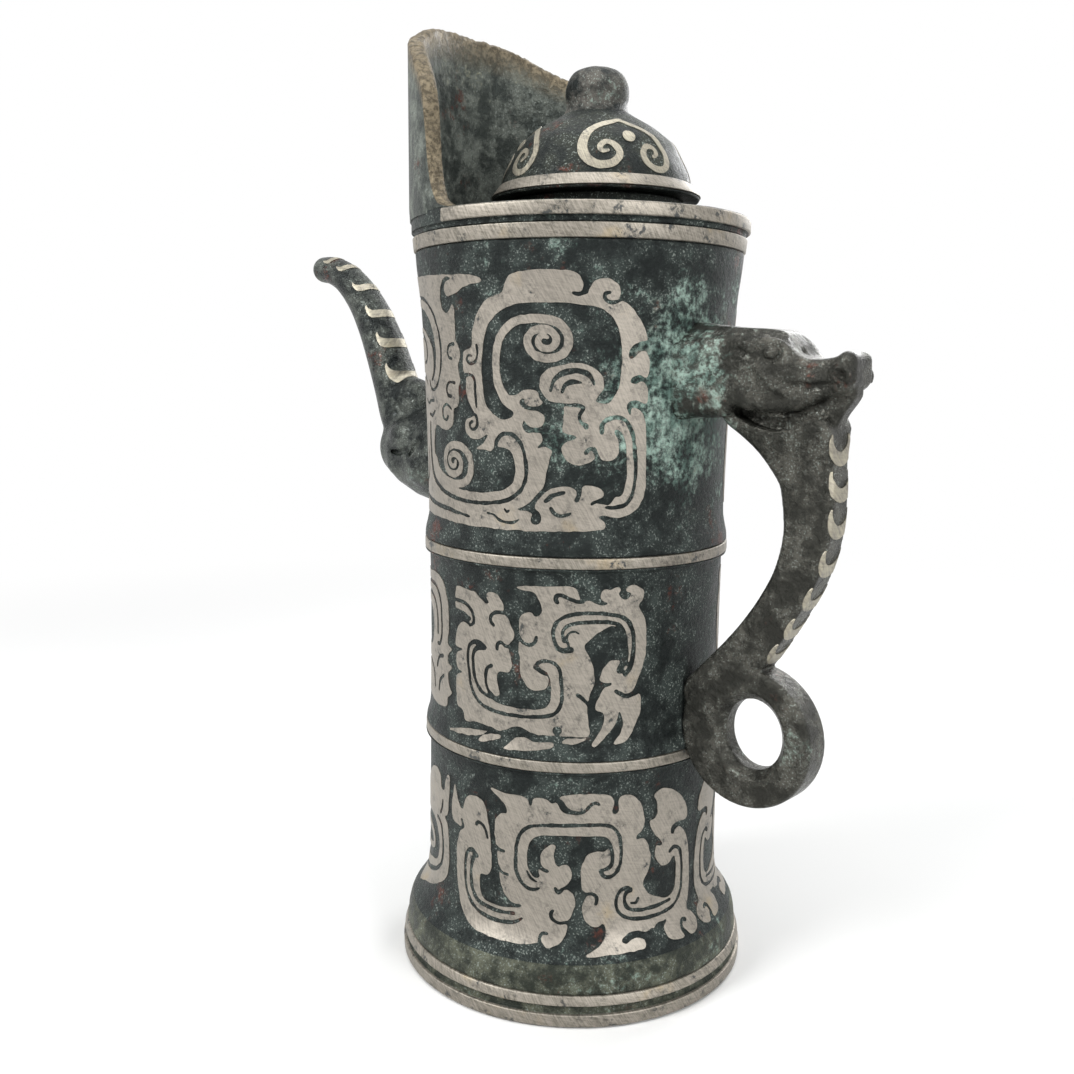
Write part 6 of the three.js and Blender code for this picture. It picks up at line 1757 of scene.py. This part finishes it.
@dataclass(frozen=True)
class Lid:
    """Domed lid with a round knob, a silver band and four scrolls."""

    centre: float = 6.0
    dome: Path = (
        (29.2, 225.45, 0.3), (29.5, 226.1, 0.2), (29.3, 226.2), (27, 229.6), (26.9, 230, 0.3), (26, 233, 1),
        (24, 237, 1.5), (22, 240.7, 1.5), (16.7, 245, 2), (11.5, 248, 1.5), (9.3, 249.4, 0.5), (0, 249.6),
        (0, 246.4), (10, 244.8, 1), (15.5, 242, 2), (19.9, 238), (19.9, 220.9, 0.3), (21.7, 220.9, 0.3),
        (21.7, 225.4),
    )
    band: Path = ((29.2, 226.25), (29.9, 226.35, 0.35), (27.6, 229.5, 0.35), (26.9, 229.6))
    knob: Path = (
        (0, 248.6), (9.8, 248.8, 0.5), (8.7, 250.6, 0.8), (8.5, 252, 0.8), (9.1, 254.9, 1.4), (8.6, 258, 1.4),
        (7, 260.5, 1.2), (3.9, 262, 1.2), (0, 262.4),
    )
    slope: Path = ((27.0, 229.6), (26, 233), (24, 237), (22, 240.7), (16.7, 245), (11.5, 248), (9.8, 249.4))
    scroll: Path = (
        (-4.9, 6.3, 1), (-6.3, 6, 1.3), (-7, 7.4, 1.4), (-5.6, 9, 1.5), (-3.2, 8.2, 1.7), (-1.9, 5.6, 1.8),
        (-3.4, 2.9, 2), (-6.8, 2, 2.2), (-10, 3.6, 2.4), (-11.6, 7.6, 2.6), (-10.6, 12, 2.5), (-7, 15.6, 2.2),
        (-2, 17.7, 1.9), (0.6, 18.6, 1.6), (2.6, 17.4, 1.7), (7.4, 14.8, 1.8), (10.8, 10.8, 1.8),
        (12.2, 6.6, 1.8), (11.2, 2.8, 1.8), (8.4, 1.6, 1.8), (5.2, 3.2, 1.8), (4.6, 6, 1.7), (6, 8.2, 1.6),
        (8.2, 8, 1.4), (8.8, 6.2, 1.3), (7.6, 5.2, 1),
    )
    dot: tuple[float, float] = (1.5, 11.2)
    spread_at: float = 24.0
    first_scroll: float = -32.0
    repeats: int = 4

    def build(self, shop: Workshop, lathe: Lathe, finishes: Finishes) -> None:
        """Builds and dresses the lid."""
        piece = lathe.turn("lid_dome", fillet(self.dome), finishes.lid, self.centre, wear=0.25, seed=7)
        shop.dress(piece, finishes.lid, Slot.BRONZE, LID, ["lid"])
        piece = lathe.turn("lid_band.silver", fillet(self.band), finishes.band, self.centre, wear=0.2, seed=8)
        shop.dress(piece, finishes.band, Slot.SILVER, LID, ["lid_band"])
        piece = lathe.turn(
            "lid_knob.bronze", fillet(self.knob), finishes.knob, self.centre, 96, wear=0.9,
            wear_scale=140, seed=9,
        )
        shop.dress(piece, finishes.knob, Slot.BRONZE, LID, ["lid_knob"])
        self._build_scrolls(shop, finishes)

    def _place(self, across: Array, along: Array, height: Array) -> Array:
        """Bends the flat scroll over the dome, round an axis at the origin."""
        rows = fillet([(*row, 1.5) for row in self.slope], 0.5, closed=False)
        run = np.concatenate([[0], np.cumsum(np.hypot(*np.diff(rows, axis=0).T))])
        slope = np.gradient(rows, run, axis=0)
        radius, rise = (np.interp(along, run, rows[:, k]) for k in range(2))
        out_r, out_z = np.interp(along, run, slope[:, 1]), -np.interp(along, run, slope[:, 0])
        turn = math.radians(self.first_scroll) + across / self.spread_at
        radius = radius + height * out_r
        return np.column_stack([radius * np.cos(turn), radius * np.sin(turn), rise + height * out_z])

    def _build_scrolls(self, shop: Workshop, finishes: Finishes) -> None:
        """Draws one scroll with its dot and repeats it round the lid by Geometry Nodes."""
        sheet = Drawing((-15, -1), (15, 21), 0.15).stroke(self.scroll)
        sheet.disc(self.dot, (2.0, 1.9)).nick(14, 0.1)
        points, faces = Plate(proud=0.2, spacing=(1.2, 1.2)).lay(sheet, self._place)
        tree = Tree("Ring of copies")
        for name, kind in (("Copies", "Int"), ("Material", "Material")):
            tree.input(name, kind)
        spots = tree.node("GeometryNodePoints", {"Count": tree.given("Copies")})
        number = tree.node("GeometryNodeInputIndex")
        step = tree.node("ShaderNodeMath", {0: math.tau, 1: tree.given("Copies")}, operation="DIVIDE")
        turn = tree.node("ShaderNodeMath", {0: number.outputs[0], 1: step.outputs[0]}, operation="MULTIPLY")
        angles = tree.node("ShaderNodeCombineXYZ", {2: turn.outputs[0]})
        copies = tree.node(
            "GeometryNodeInstanceOnPoints",
            {"Points": spots.outputs[0], "Instance": tree.given("Geometry"), "Rotation": angles.outputs[0]},
        )
        tree.finish(copies.outputs[0], tree.given("Material"))
        carrier = shop.sheet("lid_scroll", points, faces)
        baked = tree.bake(carrier, {"Copies": self.repeats, "Material": finishes.crescent})
        baked.transform(Matrix.Translation((shop.axis_x + self.centre * MM, 0, 0)))
        piece = shop.settle("lid_scrolls.silver", baked)
        nodes = [f"lid_{kind}_{k + 1}" for kind in ("scroll", "dot") for k in range(self.repeats)]
        shop.dress(piece, finishes.crescent, Slot.SILVER, LID, nodes)


# Cast pieces


def side_field(x: Array, z: Array, field: Callable[[Array, Array], Array]) -> Array:
    """Runs a flat field over the side view and stands it across Y."""
    flat_x, flat_z = np.meshgrid(x.ravel(), z.ravel(), indexing="ij")
    return np.float32(field(flat_x, flat_z))[:, None, :]


def edge_points(line: Array, heights: Sequence[float]) -> list[tuple[float, float]]:
    """Points on the right-hand edge of a stroke.

    Args:
        line: Rows of (x, z, width), walked upwards.
        heights: Height of each point on the edge.

    Returns:
        The points as (x, z).
    """
    run = np.gradient(line[:, :2], axis=0)
    run /= np.hypot(*run.T)[:, None]
    edge = line[:, :2] + 0.5 * line[:, 2:] * np.column_stack([run[:, 1], -run[:, 0]])
    picked = [edge[np.argmin(np.abs(edge[:, 1] - height))] for height in heights]
    return [(float(x), float(z)) for x, z in picked]


@dataclass(frozen=True)
class Handle:
    """Strap handle that grows from a beast's head and ends in a loop."""

    low: tuple[float, float, float] = (40.5, -15.0, 59.0)
    high: tuple[float, float, float] = (93.0, 15.0, 194.5)
    step: float = 0.42
    head: Path = (
        (36, 192.4), (45, 191), (52, 190), (60, 189.3), (68, 188.8), (71.4, 187.9), (73.2, 185.6),
        (74.6, 183.2), (77.2, 181.8), (81, 181.4), (85.6, 182.1), (88.4, 183.1), (90.2, 182), (90.7, 179),
        (90.4, 175.4),
        (88.6, 173.7), (84.4, 172.4), (80, 170.3), (75.4, 168.5), (70, 167.7), (65, 168), (60.5, 167.4),
        (56, 166.4), (47, 166), (43, 165.2), (36, 164),
    )
    head_width: Path = (
        (40, 13.2), (45, 12.6), (50, 11.2), (56, 10.4), (63, 10.3), (67, 9.9), (70, 8.9), (73, 7.6),
        (76, 6.6), (80, 5.9), (84, 5.6), (88, 6), (92, 5.8),
    )
    crown_width: Path = ((40, 4.4), (50, 5.9), (58, 6.6), (64, 6), (69, 4.4), (72.5, 3.6), (76, 20))
    web: Path = (
        (56, 172), (60, 167.2), (63, 164.5), (70, 163), (84, 163.6), (86.6, 167.6), (90, 173.2), (88, 176),
        (70, 174),
    )
    strap: Path = (
        (57.6, 166.6, 5), (62.5, 164.6, 7.5), (68.5, 162, 11.5), (74.4, 158.4, 16), (77.8, 152.8, 15.4),
        (78.9, 147, 14.6), (78.9, 136.5, 13), (76, 125.8, 11.9), (71.8, 117.7, 11.5), (66.8, 109.8, 11.9),
        (61.6, 102.8, 12.6), (55.6, 96, 13), (49.5, 90, 12.5),
    )
    neck: Path = ((79.4, 150, 12.6), (80, 156, 11), (80.2, 163.5, 10))
    strap_half: float = 4.7
    chamfer: float = 1.1
    loop_outer: tuple[float, float, float, float] = (63.2, 80.8, 19.9, 19.4)
    loop_hole: tuple[float, float, float, float] = (65.2, 81.7, 8.6, 9.7)
    hole_bevel: float = 2.6
    groove: Path = ((60.5, 168), (65, 166), (70, 165.1), (76, 165.9), (82, 168.2), (87, 171))
    eye: tuple[float, float] = (69.8, 183.0)
    nostril: tuple[float, float] = (87.4, 177.4)
    brow: Path = (
        (61, 9.4, 184.8, 0.5), (64.6, 9.3, 185.4, 0.9), (68, 8.6, 185.8, 1.1), (71.4, 7.6, 185.2, 0.9),
        (73.6, 6.6, 183.4, 0.5),
    )
    brow_cut: Path = ((61.4, 10.4, 183.6, 0.5), (64, 10.5, 182.4, 0.7), (66, 10.5, 180.6, 0.4))
    cheek: Path = (
        (66.4, 9.7, 179.6, 0.7), (68.6, 9.3, 177.2, 1), (71.4, 8.4, 174.4, 1), (74, 7.4, 172.6, 0.6),
    )
    lip: Path = ((75, 6.6, 177.6, 0.8), (79, 5.8, 176.4, 0.9), (83.4, 5.4, 176.6, 0.9), (86, 5.4, 178.6, 0.8))
    mouth: Path = ((76, 7, 174.6, 0.6), (79.5, 6.3, 174.3, 0.8), (84, 6, 175, 0.6))
    crescents: tuple[float, ...] = (105.6, 113.2, 121.6, 131.2, 141.6, 151.2, 160.2)

    def build(self, shop: Workshop, body: Body, row: CrescentRow, finishes: Finishes) -> None:
        """Builds and dresses the handle with its crescents."""
        block = Sculpture(self.low, self.high, self.step)
        self._head(block)
        self._features(block)
        self._strap(block)
        block.carve(lambda x, y, z: np.hypot(x, y) - body.radius(z) + 0.4)
        piece = shop.mesh("handle.bronze", *block.skin())
        shop.dress(piece, finishes.handle, Slot.BRONZE, VESSEL, ["handle"])
        centres = edge_points(smooth(self.strap[:4:-1] + self.neck, 0.5), self.crescents)
        nodes = [f"handle_crescent_{k}" for k in range(1, len(centres) + 1)]
        row.build("handle_crescents", centres, piece, (1.14, 1.2, 1.1), nodes)

    def _head(self, block: Sculpture) -> None:
        """Adds the head with its chamfered crown."""
        outline = smooth(self.head, 1.2, closed=True)
        crown = np.array([(row[0], row[1]) for row in self.head[:6]])

        def form(x: Array, y: Array, z: Array) -> Array:
            """Distance to the head."""
            side = side_field(x, z, lambda u, w: polygon_field(u, w, outline))
            half = np.interp(x, *np.array(self.head_width).T)
            droop = 1.8 * np.clip((174 - z) / 8, 0, 1) ** 2
            block_form = rounded_meet(side, np.abs(y) - half + droop, 2.2)
            flat = np.interp(x, *np.array(self.crown_width).T)
            facet = 0.62 * (np.abs(y) - flat) + 0.785 * (z - np.interp(x, *crown.T))
            return np.maximum(block_form, facet)

        block.add(form)
        web = smooth(self.web, 1.2, closed=True)
        block.add(
            lambda x, y, z: rounded_meet(
                side_field(x, z, lambda u, w: polygon_field(u, w, web)), np.abs(y) - 2.4, 0.8
            ),
            blend=1.0,
        )

    def _features(self, block: Sculpture) -> None:
        """Adds the brow, eye, cheek, nostril and mouth on both sides."""
        ex, ez = self.eye
        nx, nz = self.nostril
        for side in (-1, 1):
            def along(points: Path, flip: int = side) -> Path:
                """Turns (x, y, z, radius) points to this side."""
                return [(x, flip * y, z, radius) for x, y, z, radius in points]

            ring = [
                (ex + 3.1 * math.cos(t), side * (9.75 - 0.9 * math.cos(t)), ez + 2.1 * math.sin(t), 0.6)
                for t in np.linspace(0, math.tau, 20)
            ]
            curl = [
                (nx + (2.5 - 0.1 * k) * math.cos(0.5 * k - 0.6), side * 5.9,
                 nz + (2.4 - 0.1 * k) * math.sin(0.5 * k - 0.6), 0.7)
                for k in range(12)
            ]
            for work, (form, span), blend in (
                (block.add, ball((71.5, side * 6.6, 179.6), (4.8, 2.6, 4.4)), 2.2),
                (block.add, ball((ex, side * 8.1, ez), (3.9, 2.0, 2.9)), 0.7),
                (block.carve, rope(ring), 0.3),
                (block.add, ball((ex, side * 9.2, ez), (2.0, 1.4, 1.5)), 0.25),
                (block.add, rope(along(self.brow)), 1.2),
                (block.carve, rope(along(self.brow_cut)), 0.8),
                (block.add, rope(along(self.cheek)), 1.6),
                (block.add, rope(along(self.lip)), 1.4),
                (block.carve, rope(along(self.mouth)), 1.0),
                (block.add, rope(curl), 0.5),
                (block.carve, ball((nx + 0.3, side * 6.5, nz), (1.1, 1.1, 1.1)), 0.4),
                (block.add, ball((88.2, side * 3.4, 181.6), (2.0, 2.0, 1.6)), 0.9),
            ):
                work(form, span, blend)
        block.carve(*rope([(74.5, 0, 183.4, 0.5), (80, 0, 182.2, 0.8), (87.4, 0, 183.8, 0.5)]), blend=1.2)

    def _strap(self, block: Sculpture) -> None:
        """Adds the strap and the loop, and cuts the groove below the jaw."""
        line, neck = smooth(self.strap, 1.2), smooth(self.neck, 1.2)

        def strap(x: Array, y: Array, z: Array) -> Array:
            """Distance to the strap."""
            side = side_field(
                x, z, lambda u, w: soft_min(segment_field(u, w, line), segment_field(u, w, neck), 1.0)
            )
            half = self.strap_half + 2.4 * np.clip((z - 152) / 12, 0, 1) ** 1.5
            edge = rounded_meet(side, np.abs(y) - half, 0.6)
            return np.maximum(edge, 0.707 * (side + np.abs(y) - half + self.chamfer))

        def loop(x: Array, y: Array, z: Array) -> Array:
            """Distance to the loop."""
            outer, hole = (
                (np.hypot((x - mid_x) / wide, (z - mid_z) / high) - 1) * np.sqrt(wide * high)
                for mid_x, mid_z, wide, high in (self.loop_outer, self.loop_hole)
            )
            depth = np.abs(y) - self.strap_half
            bevel = 0.66 * (depth + self.hole_bevel) - 0.75 * hole
            ring = rounded_meet(outer, depth, 1.3)
            return np.maximum(rounded_meet(ring, -hole, 0.8), bevel)

        block.add(loop)
        block.add(strap, blend=0.9)
        cut = smooth([(*row, 3.2) for row in self.groove], 1.0)

        def groove(x: Array, y: Array, z: Array) -> Array:
            """Distance to the groove, which stays clear of the middle."""
            return np.maximum(side_field(x, z, lambda u, w: segment_field(u, w, cut)), 2.9 - np.abs(y))

        block.carve(groove, blend=0.6)


@dataclass(frozen=True)
class Spout:
    """Curved spout that leaves a swollen beast's head on the wall."""

    low: tuple[float, float, float] = (-126.0, -16.0, 131.0)
    high: tuple[float, float, float] = (-40.5, 16.0, 222.0)
    step: float = 0.42
    tube: Path = (
        (56, 148, 8.8), (64, 150, 8.7), (70, 154, 8.5), (76.5, 161, 8.2), (81, 171.5, 7.7), (85.5, 182, 7.3),
        (91, 192.5, 6.7), (98, 202, 6), (107, 209.5, 5.3), (115, 212.7, 4.8), (119.4, 213.2, 4.5),
    )
    boss: Path = (
        (36, 150.6, 16, 11.2), (48, 150.4, 17, 12.2), (58, 150.4, 16.6, 12.6), (66, 150.6, 15.2, 12.2),
        (73.6, 151, 12.6, 11), (80, 151.6, 9.2, 8.8), (83.8, 152.2, 5, 5.4),
    )
    collar: Path = ((-79.6, 166.6), (-76.2, 169.4), (-71.6, 168.4), (-69, 165))
    bore: Path = (
        (30, 150, 3.8), (60, 150, 3.8), (72, 157, 3.8), (80, 170, 3.6), (90, 191, 3.3), (100, 204, 3.1),
        (112, 211.6, 3), (128, 213.6, 2.9),
    )
    crescents: tuple[float, ...] = (178.6, 189.0, 198.6, 207.6, 214.4, 217.4)

    def build(self, shop: Workshop, body: Body, row: CrescentRow, finishes: Finishes) -> None:
        """Builds and dresses the spout with its crescents."""
        block = Sculpture(self.low, self.high, self.step)
        rows = np.array(self.boss)

        def boss(x: Array, y: Array, z: Array) -> Array:
            """Distance to the swollen root."""
            reach = -x
            middle, high, wide = (np.interp(reach, rows[:, 0], rows[:, k]) for k in (1, 2, 3))
            ring = (np.hypot((z - middle) / high, y / wide) - 1) * np.minimum(high, wide)
            return rounded_meet(ring, reach - rows[-1, 0] - 0.5 + 0 * z, 3.5)

        block.add(boss)
        self._features(block)
        tube = smooth(self.tube, 1.2)
        block.add(*rope([(-reach, 0, height, radius) for reach, height, radius in tube]), 2.0)
        block.add(*rope([(x, 0, z, 6.6) for x, z in self.collar]), blend=1.0)
        self._shell(block, body)
        piece = shop.mesh("spout.bronze", *block.skin())
        shop.dress(piece, finishes.spout, Slot.BRONZE, VESSEL, ["spout"])
        line = np.column_stack([-tube[:, 0], tube[:, 1], 2 * tube[:, 2]])
        centres = edge_points(line, self.crescents)
        nodes = [f"spout_crescent_{k}" for k in range(1, len(centres) + 1)]
        row.build("spout_crescents", centres, piece, (1.15, 0.75, 2.7), nodes)

    @staticmethod
    def _features(block: Sculpture) -> None:
        """Adds the brow, the eye and the ear of the root's beast on both sides."""
        for side in (-1, 1):
            for centre, radii, blend in (
                ((-68, side * 9.4, 157), (5, 2.8, 4), 2.0),
                ((-75.6, side * 6.2, 155.4), (2.6, 2.2, 2.2), 1.0),
                ((-58, side * 10.6, 146), (6, 2.6, 4.6), 2.4),
                ((-71, side * 8.4, 146.4), (4.4, 2.6, 3.2), 1.6),
            ):
                block.add(*ball(centre, radii), blend)
            for fold in (
                [(-62, 12.2, 152, 0.7), (-67, 11.6, 150.6, 0.9), (-72, 10.2, 150.8, 0.6)],
                [(-52, 12.4, 158, 0.6), (-57, 12.2, 155, 0.9), (-61, 12, 150, 0.6)],
            ):
                block.carve(*rope([(x, side * y, z, radius) for x, y, z, radius in fold]), 0.9)

    def _shell(self, block: Sculpture, body: Body) -> None:
        """Cuts the bore and the seat on the wall."""
        block.carve(*rope([(-reach, 0, height, radius) for reach, height, radius in smooth(self.bore, 2.0)]))
        block.carve(lambda x, y, z: np.hypot(x, y) - body.radius(z) + 0.4)


class CrescentRow:
    """Row of silver crescents, placed along a path and pressed onto a surface by Geometry Nodes."""

    radius = 4.2
    bite = 3.05
    raised = 1.9
    proud = 0.18

    def __init__(self, shop: Workshop, finishes: Finishes) -> None:
        """Draws one flat crescent and builds the tree."""
        self.shop = shop
        self.finishes = finishes
        turn = np.linspace(0, math.tau, 64, endpoint=False)
        outer = np.column_stack([self.radius * np.cos(turn), self.radius * np.sin(turn)])
        bite = np.column_stack([self.bite * np.cos(turn), self.raised + self.bite * np.sin(turn)])
        sheet = Drawing((-6, -6), (6, 7), 0.1).area(outer.tolist(), soften=False)
        sheet.area(bite.tolist(), silver=False, soften=False)
        sheet.cut([(-6, 3.4), (6, 3.4)], 1.6)
        points, faces = Plate(proud=self.proud, spacing=(0.4, 0.5)).lay(
            sheet, lambda across, along, height: np.column_stack([across, along, height])
        )
        self.crescent = shop.sheet("crescent", points, faces)
        self.tree = self._tree()

    @staticmethod
    def _tree() -> Tree:
        """Builds the tree: copies on a curve's points, then each corner drawn to the surface."""
        tree = Tree("Row of crescents")
        for name, kind in (
            ("Crescent", "Object"), ("Surface", "Object"), ("First scale", "Float"), ("Last scale", "Float"),
            ("Stretch", "Float"), ("Material", "Material"),
        ):
            tree.input(name, kind)
        shape = tree.node("GeometryNodeObjectInfo", {"Object": tree.given("Crescent")})
        flat = tree.node("GeometryNodeInputPosition")
        parts = tree.node("ShaderNodeSeparateXYZ", {0: flat.outputs[0]})
        kept = tree.node(
            "GeometryNodeStoreNamedAttribute",
            {"Geometry": shape.outputs["Geometry"], "Name": "lift", "Value": parts.outputs[2]},
            data_type="FLOAT", domain="POINT",
        )
        tangent = tree.node("GeometryNodeInputTangent")
        facing = tree.node(
            "FunctionNodeAlignRotationToVector",
            {"Rotation": (0, 0, math.pi / 2), "Vector": tangent.outputs[0]},
            axis="Y", pivot_axis="X",
        )
        factor = tree.node("GeometryNodeSplineParameter")
        ends = {"To Min": tree.given("First scale"), "To Max": tree.given("Last scale")}
        size = tree.node("ShaderNodeMapRange", {"Value": factor.outputs[0], **ends})
        wide = tree.node("ShaderNodeCombineXYZ", {0: tree.given("Stretch"), 1: 1.0, 2: 1.0})
        scale = tree.node(
            "ShaderNodeVectorMath", {0: wide.outputs[0], "Scale": size.outputs[0]}, operation="SCALE"
        )
        copies = tree.node(
            "GeometryNodeInstanceOnPoints",
            {"Points": tree.given("Geometry"), "Instance": kept.outputs[0], "Rotation": facing.outputs[0],
             "Scale": scale.outputs[0]},
        )
        real = tree.node("GeometryNodeRealizeInstances", {"Geometry": copies.outputs[0]})
        surface = tree.node("GeometryNodeObjectInfo", {"Object": tree.given("Surface")})
        solid = surface.outputs["Geometry"]
        here = {"Sample Position": tree.node("GeometryNodeInputPosition").outputs[0]}
        nearest = tree.node("GeometryNodeProximity", {"Geometry": solid, **here}, target_element="FACES")
        normal = tree.node("GeometryNodeInputNormal")
        outward = tree.node(
            "GeometryNodeSampleNearestSurface",
            {"Mesh": solid, "Value": normal.outputs[0], **here},
            data_type="FLOAT_VECTOR",
        )
        lift = tree.node("GeometryNodeInputNamedAttribute", {"Name": "lift"}, data_type="FLOAT")
        unit = tree.node("ShaderNodeVectorMath", {0: outward.outputs[0]}, operation="NORMALIZE")
        raised = tree.node(
            "ShaderNodeVectorMath", {0: unit.outputs[0], "Scale": lift.outputs[0]}, operation="SCALE"
        )
        place = tree.node("ShaderNodeVectorMath", {0: nearest.outputs[0], 1: raised.outputs[0]})
        pressed = tree.node(
            "GeometryNodeSetPosition", {"Geometry": real.outputs[0], "Position": place.outputs[0]}
        )
        tree.finish(pressed.outputs[0], tree.given("Material"))
        return tree

    def build(
        self, name: str, centres: Path, surface: Object, scales: tuple[float, float, float],
        nodes: Sequence[str],
    ) -> None:
        """Builds and dresses one row.

        Args:
            name: Name of the row.
            centres: Middles of the crescents as (x, z).
            surface: Finished piece that they lie on.
            scales: Scale of the first and the last one, and how much wider than long they get.
            nodes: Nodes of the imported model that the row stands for.
        """
        line = self.shop.line(name, [(self.shop.axis_x + x * MM, 0, z * MM) for x, z in centres])
        baked = self.tree.bake(line, {
            "Crescent": self.crescent, "Surface": surface, "First scale": scales[0],
            "Last scale": scales[1], "Stretch": scales[2], "Material": self.finishes.crescent,
        })
        baked.attributes.remove(baked.attributes["lift"])
        piece = self.shop.settle(name, baked)
        self.shop.dress(piece, self.finishes.crescent, Slot.SILVER, VESSEL, nodes)

    def clear(self) -> None:
        """Removes the flat crescent once every row is made."""
        bpy.data.objects.remove(self.crescent)


# Studio


@dataclass(frozen=True)
class Studio:
    """Pale floor, soft lamps, white surround and the camera."""

    eye: tuple[float, float, float] = (0.2321, -0.2567, 0.1786)
    heading: tuple[float, float] = (-0.669, 0.743)
    pitch: float = 8.57
    roll: float = 0.43
    lens: float = 37.51
    floor_colour: Colour = (0.80, 0.80, 0.79)
    lamps: tuple[tuple[str, tuple[float, float, float], float, float], ...] = (
        ("key", (-0.25, -0.8, 0.7), 0.5, 9.5),
        ("fill", (0.95, -0.2, 0.5), 0.5, 6.0),
        ("top", (0.05, 0.05, 1.1), 0.8, 6.0),
        ("rim", (-0.1, 0.95, 0.6), 0.6, 5.0),
    )
    aim: tuple[float, float, float] = (0.0, 0.0, 0.13)

    def build(self) -> None:
        """Sets up everything round the ewer."""
        self._camera()
        self._floor()
        for name, place, size, power in self.lamps:
            self._lamp(name, place, size, power)
        self._surround()
        bpy.context.scene.view_settings.view_transform = "Standard"

    def _camera(self) -> None:
        """Stands the camera."""
        camera = bpy.data.cameras.new("camera")
        camera.lens = self.lens
        camera.sensor_width = 36.0
        camera.clip_start = 0.01
        holder = bpy.data.objects.new("camera", camera)
        bpy.context.scene.collection.objects.link(holder)
        down = math.radians(self.pitch)
        level = math.cos(down)
        forward = Vector((self.heading[0] * level, self.heading[1] * level, -math.sin(down)))
        turn = forward.to_track_quat("-Z", "Y").to_matrix() @ Matrix.Rotation(math.radians(self.roll), 3, "Z")
        holder.matrix_world = Matrix.Translation(self.eye) @ turn.to_4x4()
        bpy.context.scene.camera = holder

    def _floor(self) -> None:
        """Lays the floor."""
        data = bpy.data.meshes.new("floor")
        size = 3.0
        corners = [(-size, -size, 0), (size, -size, 0), (size, size, 0), (-size, size, 0)]
        data.from_pydata(corners, [], [[0, 1, 2, 3]])
        floor = bpy.data.objects.new("floor", data)
        bpy.context.scene.collection.objects.link(floor)
        data.materials.append(Plain("Pale floor", self.floor_colour).make())

    def _lamp(self, name: str, place: tuple[float, float, float], size: float, power: float) -> None:
        """Hangs one soft lamp and aims it at the ewer."""
        lamp = bpy.data.lights.new(name, "AREA")
        lamp.shape = "DISK"
        lamp.size = size
        lamp.energy = power
        holder = bpy.data.objects.new(name, lamp)
        bpy.context.scene.collection.objects.link(holder)
        aim = (Vector(self.aim) - Vector(place)).to_track_quat("-Z", "Y")
        holder.matrix_world = Matrix.Translation(place) @ aim.to_matrix().to_4x4()

    @staticmethod
    def _surround() -> None:
        """Makes the world white to the eye and to reflections, and softly grey as a light."""
        world = bpy.data.worlds.new("surround")
        bpy.context.scene.world = world
        world.use_nodes = True
        tree = NodeSheet()
        tree.group = world.node_tree
        tree.group.nodes.clear()
        rays = tree.node("ShaderNodeLightPath").outputs
        seen = rays["Is Camera Ray"]
        for kind in ("Is Glossy Ray", "Is Transmission Ray"):
            seen = tree.node("ShaderNodeMath", {0: seen, 1: rays[kind]}, operation="MAXIMUM").outputs[0]
        soft = tree.node("ShaderNodeBackground", {"Color": (0.9, 0.93, 0.97, 1), "Strength": 0.3})
        white = tree.node("ShaderNodeBackground", {"Color": (1, 1, 1, 1), "Strength": 1.0})
        choice = tree.node("ShaderNodeMixShader", {0: seen, 1: soft.outputs[0], 2: white.outputs[0]})
        tree.node("ShaderNodeOutputWorld", {0: choice.outputs[0]})


def main() -> None:
    """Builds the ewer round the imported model."""
    logging.basicConfig(level=logging.INFO, format="%(name)s: %(message)s")
    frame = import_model()
    low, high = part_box("base_disc")
    axis_x = (low[0] + high[0]) / 2
    finishes = Finishes(axis_x)
    shop = Workshop(axis_x)
    lathe = Lathe(shop)
    body = Body()
    body.build(shop, lathe, finishes)
    Crest().build(shop, finishes)
    Inlay().build(shop, body, finishes)
    Lid().build(shop, lathe, finishes)
    row = CrescentRow(shop, finishes)
    Handle().build(shop, body, row, finishes)
    Spout().build(shop, body, row, finishes)
    row.clear()
    base = frame["nodes"]["base_disc"]
    for material_slot in base.material_slots:
        material_slot.material = finishes.foot
    Studio().build()


if __name__ == "__main__":
    main()
